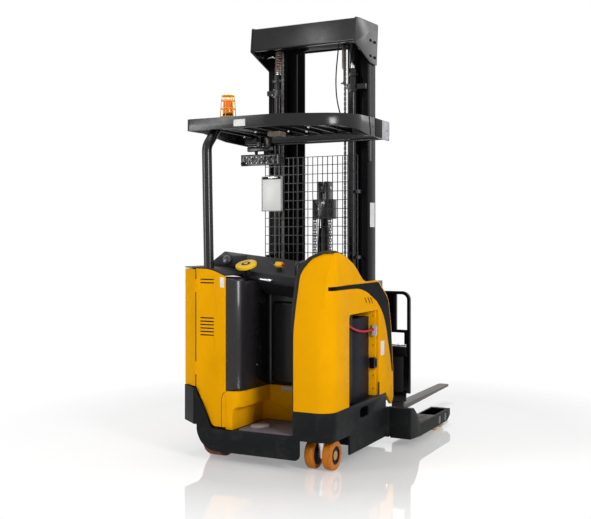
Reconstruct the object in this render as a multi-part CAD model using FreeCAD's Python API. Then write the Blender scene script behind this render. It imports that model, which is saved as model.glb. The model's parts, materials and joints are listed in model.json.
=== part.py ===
import FreeCAD, Part
import math
import os

# Stand-up reach truck with a three-stage mast, a scissor reach and two outriggers.
# Millimetres. X runs forward from the rear face of the base to the fork tips, Y to the
# truck's left, Z up from the floor. save() then moves everything back by half the overall
# length, so that the origin lies on the floor under the middle of the truck.

# Base and floor
frame_width = 1219
frame_length = 1000
ground_gap = 70
skirt = 15
deck_top = 225
deck_thickness = 20
mat_thickness = 12
bay_floor = 400
entry_left = 155
entry_right = -333
bay_rear = 465
bay_front = 835
bay_gap = 5
rear_leg_height = 245
cabinet_side_foot = 500
nose_height = 282
corner_radius = 110

# Outriggers
leg_inside = 637
leg_outside = 800
leg_top = 138
leg_bottom = 45
leg_wall = 22
leg_tip = 1980
leg_root = 1010
load_wheel_radius = 65
load_wheel_width = 96
load_wheel_stations = (1702, 1850)
load_wheel_edge = 6
load_wheel_room = 12
load_axle_radius = 12
axle_play = 0.3
leg_root_top = 286

# Drive wheel and caster
drive_wheel_radius = 165
drive_wheel_width = 128
drive_x = 200
drive_y = 346
drive_wheel_edge = 12
drive_dish_radius = 95
drive_dish_depth = 30
drive_hub_radius = 30
drive_leg_half = 62
drive_leg_thickness = 55
drive_leg_room = 8
turntable_foot = 372
turntable_radius = 125
motor_radius = 112
motor_height = 374
brake_radius = 70
brake_height = 70
motor_plate = 16
motor_shelf_length = 120
caster_radius = 101.5
caster_tyre_width = 64
caster_spacing = 130
caster_x = 149
caster_y = -486
caster_trail = 30
caster_plate = 300
caster_plate_thickness = 20
caster_arm_thickness = 48
caster_arm_half = 32
caster_disc_foot = 225
caster_disc_top = 262
caster_disc_radius = 62
caster_race_radius = 48
caster_axle_radius = 14
caster_axle_half = 60
caster_tyre_edge = 14
caster_dish_radius = 62
caster_dish_depth = 12
caster_cap_radius = 30

# Cabinets and pod
cabinet_rear = 22
cabinet_inner = 205
cabinet_seam = 452
cabinet_low_top = 1290
cabinet_top = 1345
panel = 8
pod_inner = -336
pod_top = 1466
pod_foot = 250
shoulder = 1247
bay_opening_rear = 310
bay_opening_front = 850
bay_opening_top = 1030
pad_thickness = 14
pad_side = 24
cable_radius = 8
hose_radius = 5
pad_foot = 930
side_skin = 22
wall_foot = 492
kick_face = 84
kick_low_face = 150
kick_round = 60
kick_lip_foot = 384
kick_cove = 45
kick_skin = 7
wall_thickness = 10
wall_setback = 8
wall_round = 108
mat_edge = 28
mat_left = 108
mat_round = 24
foot_switch_x = 157
foot_switch_y = 4
foot_switch_height = 10
console_nose = 1262
console_crest = 1415
console_lean = 6.2
disc_radius = 78
disc_thickness = 26
disc_edge = 10
disc_stalk_radius = 22
disc_stalk_length = 70
disc_slope = 22
disc_centre = (235, 158, 1352)
handle_spot = (335, -53, 1368)
handle_half = 25
handle_radius = 20
handle_stalk_radius = 12
hinge_heights = (640, 1220)
slot_span = (299, 413)
slot_height = 9
slot_heights = (1238, 1262, 871, 895, 919, 943, 967, 991)
knuckle_length = 30
knuckle_radius = 6
knuckle_play = 0.3
door_foot = 508
door_outer_gap = 2

# Overhead guard
guard_rear = 98
guard_left = 585
guard_right = -610
guard_front = 985
guard_arm_end = 1064
guard_top = 2410
guard_rim = 83
post_radius = 35.5
post_x = 66
post_y = 365
beacon_x = 300
beacon_y = 350
beacon_foot = 2392

# Mast: the rails nest inwards, each stage set forward of the last
rail_depth = 160
rail_width = 65
rail_web = 15
rail_flange = 18
rail_gap = 6
rail_shift = 45
mast_rear = 1070
mast_half = 431.5
mast_foot = 80
mast_top = 3150
mast_stroke = 2450
roller_play = 0.3
roller_pitch = 500
crosshead_rear = 818
crosshead_front = 958
crosshead_top = 3195
crosshead_drop = 175
lift_barrel_radius = 31
lift_rod_radius = 22
lift_x = 1032
lift_y = 322
free_lift_x = 1213
free_barrel_radius = 42
free_rod_radius = 30
free_barrel_top = 1640
free_block_foot = 1712
free_head_top = 2010
screen_x = 950

# Reach scissor
arm_length = 840
arm_width = 66
arm_thickness = 25
arm_gap = 10
arm_inner = 262
rear_pin_x = 1400
pin_z = 235
closed_span = 165
reach_stroke = 600
pin_radius = 16
roller_radius = 26

# Fork carriage, forks and backrest
fork_face = 1735
fork_length = 1219
fork_top = 180
blade_thickness = 40
fork_width = 102
fork_outer = 490
shank_thickness = 40
bar_half = 520
tilt_x = 1648
tilt_z = 625
backrest_half = 548
backrest_top = 1120
backrest_foot = 280
backrest_crossbar = 790

overall_length = fork_face + fork_length
kick_front = bay_rear - bay_gap - kick_skin
frame_half = frame_width / 2
Vector = FreeCAD.Vector
plane_axes = {
    "xy": (Vector(1, 0, 0), Vector(0, 1, 0), Vector(0, 0, 1)),
    "xz": (Vector(1, 0, 0), Vector(0, 0, 1), Vector(0, 1, 0)),
    "yz": (Vector(0, 1, 0), Vector(0, 0, 1), Vector(1, 0, 0)),
}


def box(x, y, z):
    # x, y and z are (low, high) pairs
    solid = Part.makeBox(x[1] - x[0], y[1] - y[0], z[1] - z[0])
    solid.translate(Vector(x[0], y[0], z[0]))
    return solid


def round_bar(start, end, radius):
    run = Vector(*end) - Vector(*start)
    return Part.makeCylinder(radius, run.Length, Vector(*start), run)


def flat_face(corners, plane):
    # corners are (a, b) or (a, b, radius), and the radius rounds that corner
    across, up, _ = plane_axes[plane]
    spots = [across * corner[0] + up * corner[1] for corner in corners]
    turns = []
    for index, spot in enumerate(spots):
        radius = corners[index][2] if len(corners[index]) > 2 else 0
        if radius == 0:
            turns.append((spot, spot, spot))
            continue
        back = (spots[index - 1] - spot).normalize()
        ahead = (spots[(index + 1) % len(spots)] - spot).normalize()
        half = back.getAngle(ahead) / 2
        reach = radius / math.tan(half)
        middle = spot + (back + ahead).normalize() * (radius / math.sin(half) - radius)
        turns.append((spot + back * reach, middle, spot + ahead * reach))
    edges = []
    for index, (start, middle, end) in enumerate(turns):
        if (end - start).Length > 0.001:
            edges.append(Part.Arc(start, middle, end).toShape())
        following = turns[(index + 1) % len(turns)][0]
        if (following - end).Length > 0.001:
            edges.append(Part.LineSegment(end, following).toShape())
    return Part.Face(Part.Wire(edges))


def prism(corners, plane, low, high, grow=0):
    normal = plane_axes[plane][2]
    profile = flat_face(corners, plane)
    if grow:
        profile = profile.makeOffset2D(grow)
    profile.translate(normal * low)
    return profile.extrude(normal * (high - low))


def cord_bends(points):
    # the radius at each inner point whose arc takes 0.45 of the shorter run beside it
    spots = [Vector(*point) for point in points]
    bends = []
    for last, spot, following in zip(spots, spots[1:], spots[2:]):
        half = (last - spot).getAngle(following - spot) / 2
        bends.append(0.45 * min((last - spot).Length, (following - spot).Length) * math.tan(half))
    return bends


def pipe(points, radius, bends):
    # straight runs joined by arcs of the given bend radii, or of one radius for all
    spots = [Vector(*point) for point in points]
    edges = []
    last = spots[0]
    for index in range(1, len(spots) - 1):
        back = (spots[index - 1] - spots[index]).normalize()
        ahead = (spots[index + 1] - spots[index]).normalize()
        half = back.getAngle(ahead) / 2
        bend = bends[index - 1] if isinstance(bends, list) else bends
        reach = bend / math.tan(half)
        middle = spots[index] + (back + ahead).normalize() * (bend / math.sin(half) - bend)
        start = spots[index] + back * reach
        end = spots[index] + ahead * reach
        edges.append(Part.LineSegment(last, start).toShape())
        edges.append(Part.Arc(start, middle, end).toShape())
        last = end
    edges.append(Part.LineSegment(last, spots[-1]).toShape())
    path = Part.Wire(edges)
    section = Part.Wire(Part.makeCircle(radius, spots[0], spots[1] - spots[0]))
    return path.makePipeShell([section], True, False)


def joined(*solids):
    return solids[0].multiFuse(list(solids[1:])).removeSplitter()


def mirrored(shape):
    return shape.mirror(Vector(0, 0, 0), Vector(0, 1, 0))


def save(node, *solids):
    shape = solids[0].copy() if len(solids) == 1 else Part.makeCompound([solid.copy() for solid in solids])
    shape.translate(Vector(-overall_length / 2, 0, 0))
    shape.exportStep(f"parts/{node}.step")


def base_frame():
    deck_low = deck_top - deck_thickness
    caster_edge = pod_inner - 45
    wheel_cut = drive_y + 84
    rear = prism([
        (caster_edge, deck_low), (caster_edge, ground_gap, 40), (wheel_cut, ground_gap, 160),
        (wheel_cut, rear_leg_height), (cabinet_seam, rear_leg_height),
        (cabinet_seam, cabinet_side_foot + 3), (373, 370, 60), (311, deck_top, 40),
        (pod_inner, deck_top), (pod_inner, bay_floor), (corner_radius - frame_half, bay_floor),
        (corner_radius - frame_half, deck_low),
    ], "yz", 0, skirt)
    plan = [(0, corner_radius - frame_half), (0, -frame_half, corner_radius), (frame_length, -frame_half),
            (frame_length, skirt - frame_half), (skirt, skirt - frame_half, corner_radius - skirt),
            (skirt, corner_radius - frame_half)]
    right = prism(plan, "xy", ground_gap, bay_floor)
    right = right.cut(box((-1, 319), (-frame_half - 1, frame_half), (0, deck_low)))
    slot = prism([(500, 290, 30), (660, 290, 30), (660, 360, 30), (500, 360, 30)], "xz", -frame_half - 1, -500)
    right = right.cut(slot)
    corner = [(0, cabinet_seam - 20), (0, cabinet_seam, 8), (118, frame_half, 30), (frame_length, frame_half),
              (frame_length, frame_half - skirt), (125, frame_half - skirt, 20), (skirt, cabinet_seam - 4, 6),
              (skirt, cabinet_seam - 20)]
    left = prism(corner, "xy", rear_leg_height, cabinet_side_foot)
    left = left.cut(box((bay_rear, frame_length + 1), (0, frame_half + 1), (bay_floor, cabinet_side_foot + 1)))
    left_low = box((bay_rear, frame_length), (frame_half - skirt, frame_half), (ground_gap, rear_leg_height))
    deck = box((skirt, bay_rear), (caster_edge, entry_left), (deck_low, deck_top))
    deck_wall = box((skirt, bay_rear), (caster_edge, caster_edge + skirt), (deck_low, caster_plate + caster_plate_thickness))
    caster_mount = box((skirt, bay_rear), (skirt - frame_half, caster_edge + 1), (caster_plate, caster_plate + caster_plate_thickness))
    caster_mount = caster_mount.cut(prism([(skirt - 1, skirt - frame_half - 1), (skirt - 1, -500),
                                           (100, skirt - frame_half - 1)], "xy", 0, 1000))
    inside = (skirt - frame_half, frame_half - skirt)
    bay = box((bay_rear, frame_length), inside, (bay_floor - deck_thickness, bay_floor))
    walls = [box((x, x + skirt), inside, (ground_gap + 30, bay_floor)) for x in (bay_rear, bay_front)]
    nose = box((frame_length - 20, mast_rear - 3), (-leg_inside, leg_inside), (ground_gap, nose_height))
    motor_shelf = box((bay_rear - motor_shelf_length, bay_rear), (entry_left + 20, frame_half - skirt),
                      (bay_floor - motor_plate, bay_floor))
    return joined(rear, right, left, left_low, deck, deck_wall, caster_mount, bay, *walls, nose, motor_shelf)


def outrigger():
    shape = prism([
        (leg_root, leg_bottom + 15), (leg_root, leg_root_top),
        (1085, leg_root_top, 60), (1175, 215, 60), (1215, leg_top, 40),
        (leg_tip, leg_top, 8), (leg_tip, 82), (leg_tip - 75, leg_bottom), (1230, leg_bottom, 60),
    ], "xz", frame_half, leg_outside)
    shape = shape.cut(box((mast_rear - 3, leg_tip + 1), (frame_half - 1, leg_inside), (0, 300)))
    shape = shape.cut(box((leg_root - 1, mast_rear - 3), (frame_half - 1, leg_inside), (0, nose_height)))
    low, high = load_wheel_stations
    ends = (low - load_wheel_radius - load_wheel_room, high + load_wheel_radius + load_wheel_room)
    pocket = box(ends, (leg_inside + leg_wall, leg_outside - leg_wall), (0, 300))
    axles = [round_bar((x, leg_inside + leg_wall, load_wheel_radius), (x, leg_outside - leg_wall, load_wheel_radius),
                       load_axle_radius) for x in load_wheel_stations]
    return joined(shape.cut(pocket), *axles)


def load_wheel(station):
    middle = (leg_inside + leg_outside) / 2
    low = middle - load_wheel_width / 2
    tyre = round_bar((station, low, load_wheel_radius), (station, low + load_wheel_width, load_wheel_radius),
                     load_wheel_radius)
    bore = round_bar((station, low - 1, load_wheel_radius), (station, low + load_wheel_width + 1, load_wheel_radius),
                     load_axle_radius + axle_play)
    edges = [edge for edge in tyre.Edges if edge.Length > load_wheel_radius * 3]
    return tyre.makeFillet(load_wheel_edge, edges).cut(bore)


def drive_wheel():
    low = drive_y - drive_wheel_width / 2
    tyre = round_bar((drive_x, low, drive_wheel_radius), (drive_x, low + drive_wheel_width, drive_wheel_radius),
                     drive_wheel_radius)
    tyre = tyre.makeFillet(drive_wheel_edge, [edge for edge in tyre.Edges if edge.Length > drive_wheel_radius * 3])
    dish = round_bar((drive_x, low - 1, drive_wheel_radius), (drive_x, low + drive_dish_depth, drive_wheel_radius),
                     drive_dish_radius)
    bore = round_bar((drive_x, low, drive_wheel_radius), (drive_x, low + drive_wheel_width + 1, drive_wheel_radius),
                     drive_hub_radius + axle_play)
    return tyre.cut(dish).cut(bore)


def drive_unit():
    leg_low = drive_y + drive_wheel_width / 2 + drive_leg_room
    rear, front = drive_x - drive_leg_half, drive_x + drive_leg_half
    leg = prism([(rear, 130, 55), (front, 130, 55), (front, turntable_foot), (rear, turntable_foot)],
                "xz", leg_low, leg_low + drive_leg_thickness)
    hub = round_bar((drive_x, drive_y - 20, drive_wheel_radius), (drive_x, leg_low + 1, drive_wheel_radius),
                    drive_hub_radius)
    head = box((rear, front), (drive_y - 60, leg_low + drive_leg_thickness),
               (drive_wheel_radius * 2 + 12, turntable_foot))
    turntable = round_bar((drive_x, drive_y, turntable_foot), (drive_x, drive_y, bay_floor - axle_play),
                          turntable_radius)
    return joined(leg, hub, head, turntable)


def drive_mount():
    plate = box((cabinet_rear + panel, bay_rear - motor_shelf_length), (entry_left + 22, frame_half - 40), (bay_floor, bay_floor + motor_plate))
    plate = plate.cut(prism([(0, cabinet_seam - 20), (0, frame_half), (150, frame_half)], "xy", 0, 1000))
    motor_foot = bay_floor + motor_plate
    motor_top = motor_foot + motor_height
    motor = round_bar((drive_x, drive_y, motor_foot), (drive_x, drive_y, motor_top), motor_radius)
    brake = round_bar((drive_x, drive_y, motor_top), (drive_x, drive_y, motor_top + brake_height), brake_radius)
    return joined(plate, motor, brake)


def caster_bracket():
    stem_x = caster_x + caster_trail
    half = caster_arm_thickness / 2
    leg = prism([(caster_x - caster_arm_half, 62, 30), (caster_x + caster_arm_half, 62, 30),
                 (stem_x + 45, caster_disc_foot), (stem_x - 55, caster_disc_foot)], "xz",
                caster_y - half, caster_y + half)
    bore = round_bar((caster_x, caster_y - half - 6, caster_radius), (caster_x, caster_y + half + 6, caster_radius),
                     caster_axle_radius + axle_play)
    disc = round_bar((stem_x, caster_y, caster_disc_foot), (stem_x, caster_y, caster_disc_top), caster_disc_radius)
    race = round_bar((stem_x, caster_y, caster_disc_top), (stem_x, caster_y, caster_plate - axle_play),
                     caster_race_radius)
    return joined(leg.cut(bore), disc, race)


def caster_wheels():
    solids = [round_bar((caster_x, caster_y - caster_axle_half, caster_radius),
                        (caster_x, caster_y + caster_axle_half, caster_radius), caster_axle_radius)]
    for side in (-1, 1):
        middle = caster_y + side * caster_spacing / 2
        low = middle - caster_tyre_width / 2
        high = middle + caster_tyre_width / 2
        tyre = round_bar((caster_x, low, caster_radius), (caster_x, high, caster_radius), caster_radius)
        tyre = tyre.makeFillet(caster_tyre_edge, [edge for edge in tyre.Edges if edge.Length > caster_radius * 3])
        outer = high if side > 0 else low
        dish_floor = outer - side * caster_dish_depth
        dish = round_bar((caster_x, outer + side, caster_radius), (caster_x, dish_floor, caster_radius),
                         caster_dish_radius)
        cap = round_bar((caster_x, dish_floor - side, caster_radius), (caster_x, outer - side * 4, caster_radius),
                        caster_cap_radius)
        solids += [tyre.cut(dish), cap]
    return joined(*solids)


def platform_floor():
    mat = prism([(mat_edge, pod_inner + 10, mat_round), (mat_edge, mat_left, mat_round), (kick_front, mat_left),
                 (kick_front, pod_inner + 10)], "xy", deck_top, deck_top + mat_thickness)
    long, wide, corner = 85, 58, 34
    x, y = foot_switch_x, foot_switch_y
    pad = prism([(x - long, y - corner), (x, y - wide - 20), (x + long, y - corner), (x + long, y + corner),
                 (x, y + wide + 20), (x - long, y + corner)], "xy",
                deck_top + mat_thickness, deck_top + mat_thickness + foot_switch_height)
    return joined(mat, pad)


def kick_panel():
    # a board round the operator's feet, whose lip on the left stands out over a toe space
    rear = cabinet_rear + 2
    front = kick_front + kick_skin
    plan = [(rear, kick_face, kick_round), (rear, entry_left), (front, entry_left), (front, pod_inner + 12),
            (kick_front, pod_inner + 12), (kick_front, kick_face, 12)]
    board = prism(plan, "xy", deck_top, wall_foot)
    toe_space = prism([(kick_face - kick_round, deck_top - 1), (kick_low_face, deck_top - 1),
                       (kick_low_face, kick_lip_foot, kick_cove), (kick_face - kick_round, kick_lip_foot)],
                      "yz", rear - 1, kick_front)
    side_filler = box((rear, front), (entry_left, entry_left + 18), (345, wall_foot))
    rear_filler = box((rear, cabinet_rear + panel), (entry_left - 1, cabinet_inner), (deck_top, wall_foot))
    return joined(board.cut(toe_space), side_filler, rear_filler)


def compartment_wall():
    rear = cabinet_rear + panel
    side = kick_face + wall_setback
    front = kick_front - 4
    outer = [(rear, cabinet_inner), (rear, side, wall_round), (front, side, 25), (front, pod_inner + 26),
             (front + wall_thickness, pod_inner + 26), (front + wall_thickness, side + wall_thickness, 35),
             (rear + wall_thickness, side + wall_thickness, wall_round - wall_thickness),
             (rear + wall_thickness, cabinet_inner)]
    wall = prism(outer, "xy", wall_foot, cabinet_low_top - 20)
    crown = [(pod_inner - 1, 1190), (-60, 1215), (cabinet_inner + 1, cabinet_low_top - 12)]
    cover = prism([(rear, cabinet_inner), (rear, side, wall_round), (front, side), (front, cabinet_inner)], "xy",
                  1180, cabinet_low_top)
    rise = (crown[2][1] - crown[1][1]) / (crown[2][0] - crown[1][0])
    edge = crown[1][1] + rise * (side - crown[1][0])
    band = prism([(side, edge - wall_thickness), crown[2][:1] + (crown[2][1] - wall_thickness,), crown[2], (side, edge)],
                 "yz", rear, front)
    top_cut = prism(crown + [(cabinet_inner + 1, 1400), (pod_inner - 1, 1400)], "yz", rear, bay_rear)
    return joined(wall, cover.common(band)).cut(top_cut).cut(console())


def cabinet_knuckle(z):
    half = knuckle_length / 2
    return joined(round_bar((cabinet_rear, cabinet_seam, z - half), (cabinet_rear, cabinet_seam, z + half), knuckle_radius),
                  box((cabinet_rear, cabinet_rear + knuckle_radius), (cabinet_seam - 8, cabinet_seam), (z - half, z + half)))


def door_knuckle(z, room):
    half = knuckle_length / 2 - knuckle_play + room
    return round_bar((cabinet_rear, cabinet_seam, z - half), (cabinet_rear, cabinet_seam, z + half), knuckle_radius + room)


def drive_cabinet():
    rear = prism([(cabinet_inner, 240), (311, 240, 40), (373, 372, 60), (cabinet_seam - bay_gap, door_foot),
                  (cabinet_seam - bay_gap, cabinet_top - 3), (330, cabinet_top - 4.5, 300), (cabinet_inner, cabinet_low_top)],
                 "yz", cabinet_rear, cabinet_rear + panel)
    rear = rear.cut(Part.makeCompound([door_knuckle(z, 1) for z in hinge_heights]))
    rear = joined(rear, *[cabinet_knuckle(z + side * knuckle_length) for z in hinge_heights for side in (-1, 1)])
    slots = [box((0, 60), slot_span, (z, z + slot_height)) for z in slot_heights]
    rear = rear.cut(Part.makeCompound(slots))
    inside = cabinet_inner + panel
    front = bay_rear - bay_gap
    inner = box((cabinet_rear + panel, front), (cabinet_inner, inside), (wall_foot, cabinet_low_top - 60))
    back = box((front - panel, front), (inside, frame_half - 18), (bay_floor, cabinet_low_top - 20))
    return joined(rear, inner, back)


def cabinet_side_door():
    outer = frame_half - door_outer_gap
    front = bay_rear - 12
    plan = [(cabinet_rear, cabinet_seam), (118, outer, 40), (front, outer), (front, outer - panel),
            (122, outer - panel, 34), (cabinet_rear + panel, cabinet_seam)]
    skin = prism(plan, "xy", door_foot, cabinet_top - 9)
    reliefs = [round_bar((cabinet_rear, cabinet_seam, z + side * knuckle_length - knuckle_length / 2 - 1),
                         (cabinet_rear, cabinet_seam, z + side * knuckle_length + knuckle_length / 2 + 1),
                         knuckle_radius + 1) for z in hinge_heights for side in (-1, 1)]
    return joined(skin.cut(Part.makeCompound(reliefs)), *[door_knuckle(z, 0) for z in hinge_heights])


def cabinet_top_cover():
    plan = [(cabinet_rear, cabinet_inner + 4), (cabinet_rear, cabinet_seam, 8), (118, frame_half, 40),
            (bay_rear - bay_gap, frame_half), (bay_rear - bay_gap, cabinet_inner + 4)]
    slab = prism(plan, "xy", cabinet_top - 60, cabinet_top + 8)
    over = prism([(cabinet_inner, cabinet_low_top), (330, cabinet_top - 4, 300), (frame_half + 1, cabinet_top),
                  (frame_half + 1, cabinet_top + 8, 6), (330, cabinet_top + 6, 300), (cabinet_inner, cabinet_low_top + 10)],
                 "yz", 0, bay_rear)
    cover = slab.common(over)
    hole = round_bar((post_x, post_y, 1200), (post_x, post_y, 1500), post_radius + 4)
    return cover.cut(hole)


def console():
    body = prism([(392, 1150, 20), (258, 1238, 24), (250, 1264, 14), (272, 1302, 24), (bay_rear + 60, console_crest, 40),
                  (bay_rear + 95, 1340, 20), (bay_rear + 60, shoulder + 1), (bay_rear - 34, 1225), (bay_rear - 34, 1150)],
                 "xz", pod_inner + 30, frame_half - 90)
    body.rotate(Vector(0, 0, console_nose), Vector(1, 0, 0), console_lean)
    left_cut = box((0, bay_rear - 4), (cabinet_inner - 1, frame_half), (1000, cabinet_top + 10))
    low_cut = box((bay_rear + 63, 700), (-frame_half, frame_half), (1000, shoulder - 4))
    return body.cut(left_cut).cut(low_cut)


def display_pod():
    hood = prism([(300, 1330, 20), (290, 1425, 40), (470, 1455, 50), (530, 1340, 20)], "xz", 240, 500)
    arch = prism([(482, 1300), (482, 1372, 20), (402, 1452, 46), (292, 1430, 40), (252, 1372, 24), (252, 1300)],
                 "yz", 280, 540)
    return hood.common(arch).cut(console()).cut(cabinet_top_cover())


def steering_disc():
    disc = Part.makeCylinder(disc_radius, disc_thickness, Vector(0, 0, 0))
    disc = disc.makeFillet(disc_edge, disc.Edges[:1])
    stalk = Part.makeCylinder(disc_stalk_radius, disc_stalk_length, Vector(0, 0, 2 - disc_stalk_length))
    wheel = joined(disc, stalk)
    wheel.rotate(Vector(0, 0, 0), Vector(0, 1, 0), -disc_slope)
    wheel.translate(Vector(*disc_centre))
    return wheel.cut(console())


def control_handle():
    x, y, z = handle_spot
    stalk = round_bar((x + 7, y, z - 78), (x, y, z - 6), handle_stalk_radius)
    grip = round_bar((x, y - handle_half, z), (x, y + handle_half, z), handle_radius)
    return joined(stalk, grip).cut(console())


def grab_handle():
    bar = pipe([(330, -40, 1246), (232, -40, 1258), (232, 60, 1266), (330, 60, 1254)], 10, 24)
    return bar.cut(console())


def side_outline(rear):
    # outline of a side panel forward of its rear edge: shoulder, front edge and pointed foot
    return rear + [
        (845, shoulder, 70), (1052, 1108, 170), (1112, 880, 400), (1150, 560, 300),
        (1155, 340, 40), (1112, 288, 20), (frame_length, bay_floor),
    ]


def pod_core(arch, low, lift):
    # the pod's arch seen from behind, cut to its outline seen from the side
    side = side_outline([(-20, bay_floor), (-20, 740), (33, 1340, 300), (85, pod_top, 60), (240, 1438, 220),
                         (400, 1372, 260), (545, 1268, 40), (600, shoulder, 60)])
    along = prism(side, "xz", -frame_half - 60, pod_inner + 60)
    along.translate(Vector(0, 0, lift))
    return prism(arch, "yz", low, 1300).common(along)


def pod_body():
    return pod_core([(-frame_half - 40, pod_foot), (-frame_half - 40, pod_top - 2), (-540, pod_top, 110),
                     (-437, 1412, 90), (-374, 1322, 160), (-350, 1100, 500), (pod_inner, 900, 700),
                     (pod_inner, pod_foot)], -60, 0)


def pod_panel():
    plan = [(0, pod_inner + 80), (0, -frame_half, corner_radius), (1200, -frame_half), (1200, pod_inner + 80)]
    skin_back = box((bay_opening_rear, 1300), (side_skin - frame_half, 0), (0, 1600))
    opening = prism([(bay_opening_rear, 0), (bay_opening_rear, bay_opening_top, 28), (bay_opening_front, bay_opening_top),
                     (bay_opening_front, 0)], "xz", -700, 0)
    return pod_body().common(prism(plan, "xy", 0, 1600)).cut(skin_back).cut(opening)


def pod_pad():
    over = pod_core([(-frame_half - 40, bay_floor), (-frame_half - 40, pod_top + pad_thickness - 2),
                     (-524, pod_top + pad_thickness, 120), (-410, 1424, 90), (-342, 1322, 160), (-322, 1100, 500),
                     (pod_inner + pad_side, 900, 700), (pod_inner + pad_side, bay_floor)], 4, pad_thickness)
    body = pod_body()
    behind = body.copy()
    behind.translate(Vector(-40, 0, 0))
    rim = over.common(box((3, 600), (20 - frame_half, 0), (pad_foot, 1600))).cut(body).cut(behind)
    rim = rim.cut(box((bay_rear - bay_gap, 700), (-572, 0), (0, shoulder + 2)))
    liner = box((4, bay_rear - bay_gap), (pod_inner, pod_inner + panel), (deck_top + mat_thickness, pad_foot + 10))
    return joined(rim, liner)


def battery():
    return box((bay_rear + 14, bay_front - 40), (-554, 554), (bay_floor, 985))


def battery_bay_panel():
    return box((bay_opening_rear + 6, bay_rear), (-566, -554), (bay_floor, bay_opening_top + 40))


def battery_retainer():
    return box((bay_front - 38, bay_front), (-598, -556), (602, 682))


def battery_connector():
    return box((bay_front - 26, bay_front), (-600, -572), (838, 918))


def battery_cable():
    points = [(bay_opening_rear + 2.6, -577, 970), (424, -579, 928), (552, -577, 897), (688, -579, 882),
              (bay_front - 26.4, -580, 886)]
    bends = cord_bends(points)
    print("battery_cable bend radii", [round(bend) for bend in bends])
    return pipe(points, cable_radius, bends)


def battery_cover():
    top = box((bay_rear + 65, bay_front + 150), (side_skin - frame_half, frame_half - side_skin), (1190, shoulder - 6))
    return top


def front_cover():
    outer = box((bay_front, frame_length - 20), (side_skin - frame_half, frame_half - side_skin), (bay_floor, 1190))
    inner = box((bay_front + panel, frame_length - 20 - panel), (side_skin + panel - frame_half, frame_half - side_skin - panel), (bay_floor, 1182))
    return outer.cut(inner)


def left_panel():
    outline = side_outline([(bay_rear + 1, bay_floor), (bay_rear + 1, shoulder)])
    skin = prism(outline, "xz", frame_half - side_skin, frame_half)
    opening = box((bay_rear + 12, bay_opening_front), (0, 700), (bay_floor - 1, bay_opening_top))
    return skin.cut(opening)


def overhead_guard():
    outline = [(guard_rear, guard_left, 35), (guard_front, guard_left), (guard_front, guard_right),
               (330, guard_right, 330), (guard_rear, -150, 420)]
    band = prism(outline, "xy", 2270, 2440).cut(prism(outline, "xy", 2269, 2441, -14))
    side = [(0, 2327), (330, 2333), (640, 2300), (guard_arm_end + 1, 2292), (guard_arm_end + 1, 2437), (700, 2432),
            (0, guard_top)]
    arms = [box((guard_front - 1, guard_arm_end), (y, y + 14), (2270, 2440)) for y in (guard_right, guard_left - 14)]
    band = joined(band, *arms).common(prism(side, "xz", -700, 700))
    ledge = prism(outline, "xy", 2380, 2392).cut(prism(outline, "xy", 2379, 2393, -60))
    bars = [box((guard_rear - 50, guard_front - 8), (y - 6, y + 6), (2352, 2392)) for y in range(-480, 500, 120)]
    bars = [bar.common(prism(outline, "xy", 2300, 2440, -5)) for bar in bars]
    front = box((guard_front - 60, guard_front), (guard_right + 10, guard_left - 10), (2306, 2400))
    seat = box((guard_rear + 10, 270), (320, 440), (2346, 2352))
    return joined(band, ledge, *bars, front, seat)


def guard_post():
    tube = pipe([(post_x, post_y, cabinet_top - 120), (post_x, post_y + 20, 2208), (post_x + 190, post_y + 10, 2412)],
                post_radius, 90)
    return tube.cut(box((0, 500), (0, 700), (2346, 2600)))


def guard_brackets():
    plate = prism([(guard_front, 2310), (guard_front, 2400), (mast_rear + 40, 2400), (mast_rear + 40, 2150),
                   (mast_rear + 2, 2150), (mast_rear + 2, 2300)], "xz", mast_half, mast_half + 14)
    return [plate, mirrored(plate)]


def beacon():
    plate = box((beacon_x - 70, beacon_x + 70), (beacon_y - 70, beacon_y + 70), (beacon_foot, beacon_foot + 6))
    base = round_bar((beacon_x, beacon_y, beacon_foot), (beacon_x, beacon_y, beacon_foot + 60), 42)
    lens = round_bar((beacon_x, beacon_y, beacon_foot + 60), (beacon_x, beacon_y, beacon_foot + 165), 36)
    return joined(plate, base, lens)


def beacon_cage():
    foot = beacon_foot + 6.3
    centre = (beacon_x, beacon_y)
    rings = [round_bar((*centre, z), (*centre, z + 5), 56).cut(round_bar((*centre, z - 1), (*centre, z + 6), 50))
             for z in (foot + 42, foot + 102, foot + 162)]
    stays = []
    for step in range(6):
        angle = math.radians(60 * step)
        x = beacon_x + 53 * math.cos(angle)
        y = beacon_y + 53 * math.sin(angle)
        stays.append(round_bar((x, y, foot), (x, y, foot + 197), 2.6))
    top = round_bar((*centre, foot + 196), (*centre, foot + 202), 57)
    return joined(*rings, *stays, top)


def accessory_bracket():
    plate = box((902, 910), (242, 592), (2132, 2222))
    for y in range(275, 590, 45):
        for z in (2155, 2199):
            plate = plate.cut(round_bar((890, y, z), (920, y, z), 6))
    hanger = box((910, 922), (330, 390), (2160, 2352))
    return joined(plate, hanger)


def document_holder():
    return box((screen_x - 22, screen_x - 0.3), (239, 418), (1770, 2045))


def mesh_screen():
    half = 400
    low = shoulder - 6
    high = 2190
    wire = 5
    frame = box((screen_x, screen_x + wire), (-half, half), (low, high))
    frame = frame.cut(box((screen_x - 1, screen_x + wire + 1), (wire - half, half - wire), (low + wire, high - wire)))
    columns = 19
    rows = 14
    uprights = [box((screen_x, screen_x + wire), (y - wire / 2, y + wire / 2), (low, high))
                for y in (-half + 2 * half * step / columns for step in range(1, columns))]
    rungs = [box((screen_x, screen_x + wire), (-half, half), (z - wire / 2, z + wire / 2))
             for z in (low + (high - low) * step / rows for step in range(1, rows))]
    stays = [box((screen_x, mast_rear), (side * (half - 8) - 8, side * (half - 8) + 8), (z, z + 25))
             for side in (-1, 1) for z in (1400, 1900)]
    return joined(frame, *uprights, *rungs, *stays)


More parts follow.
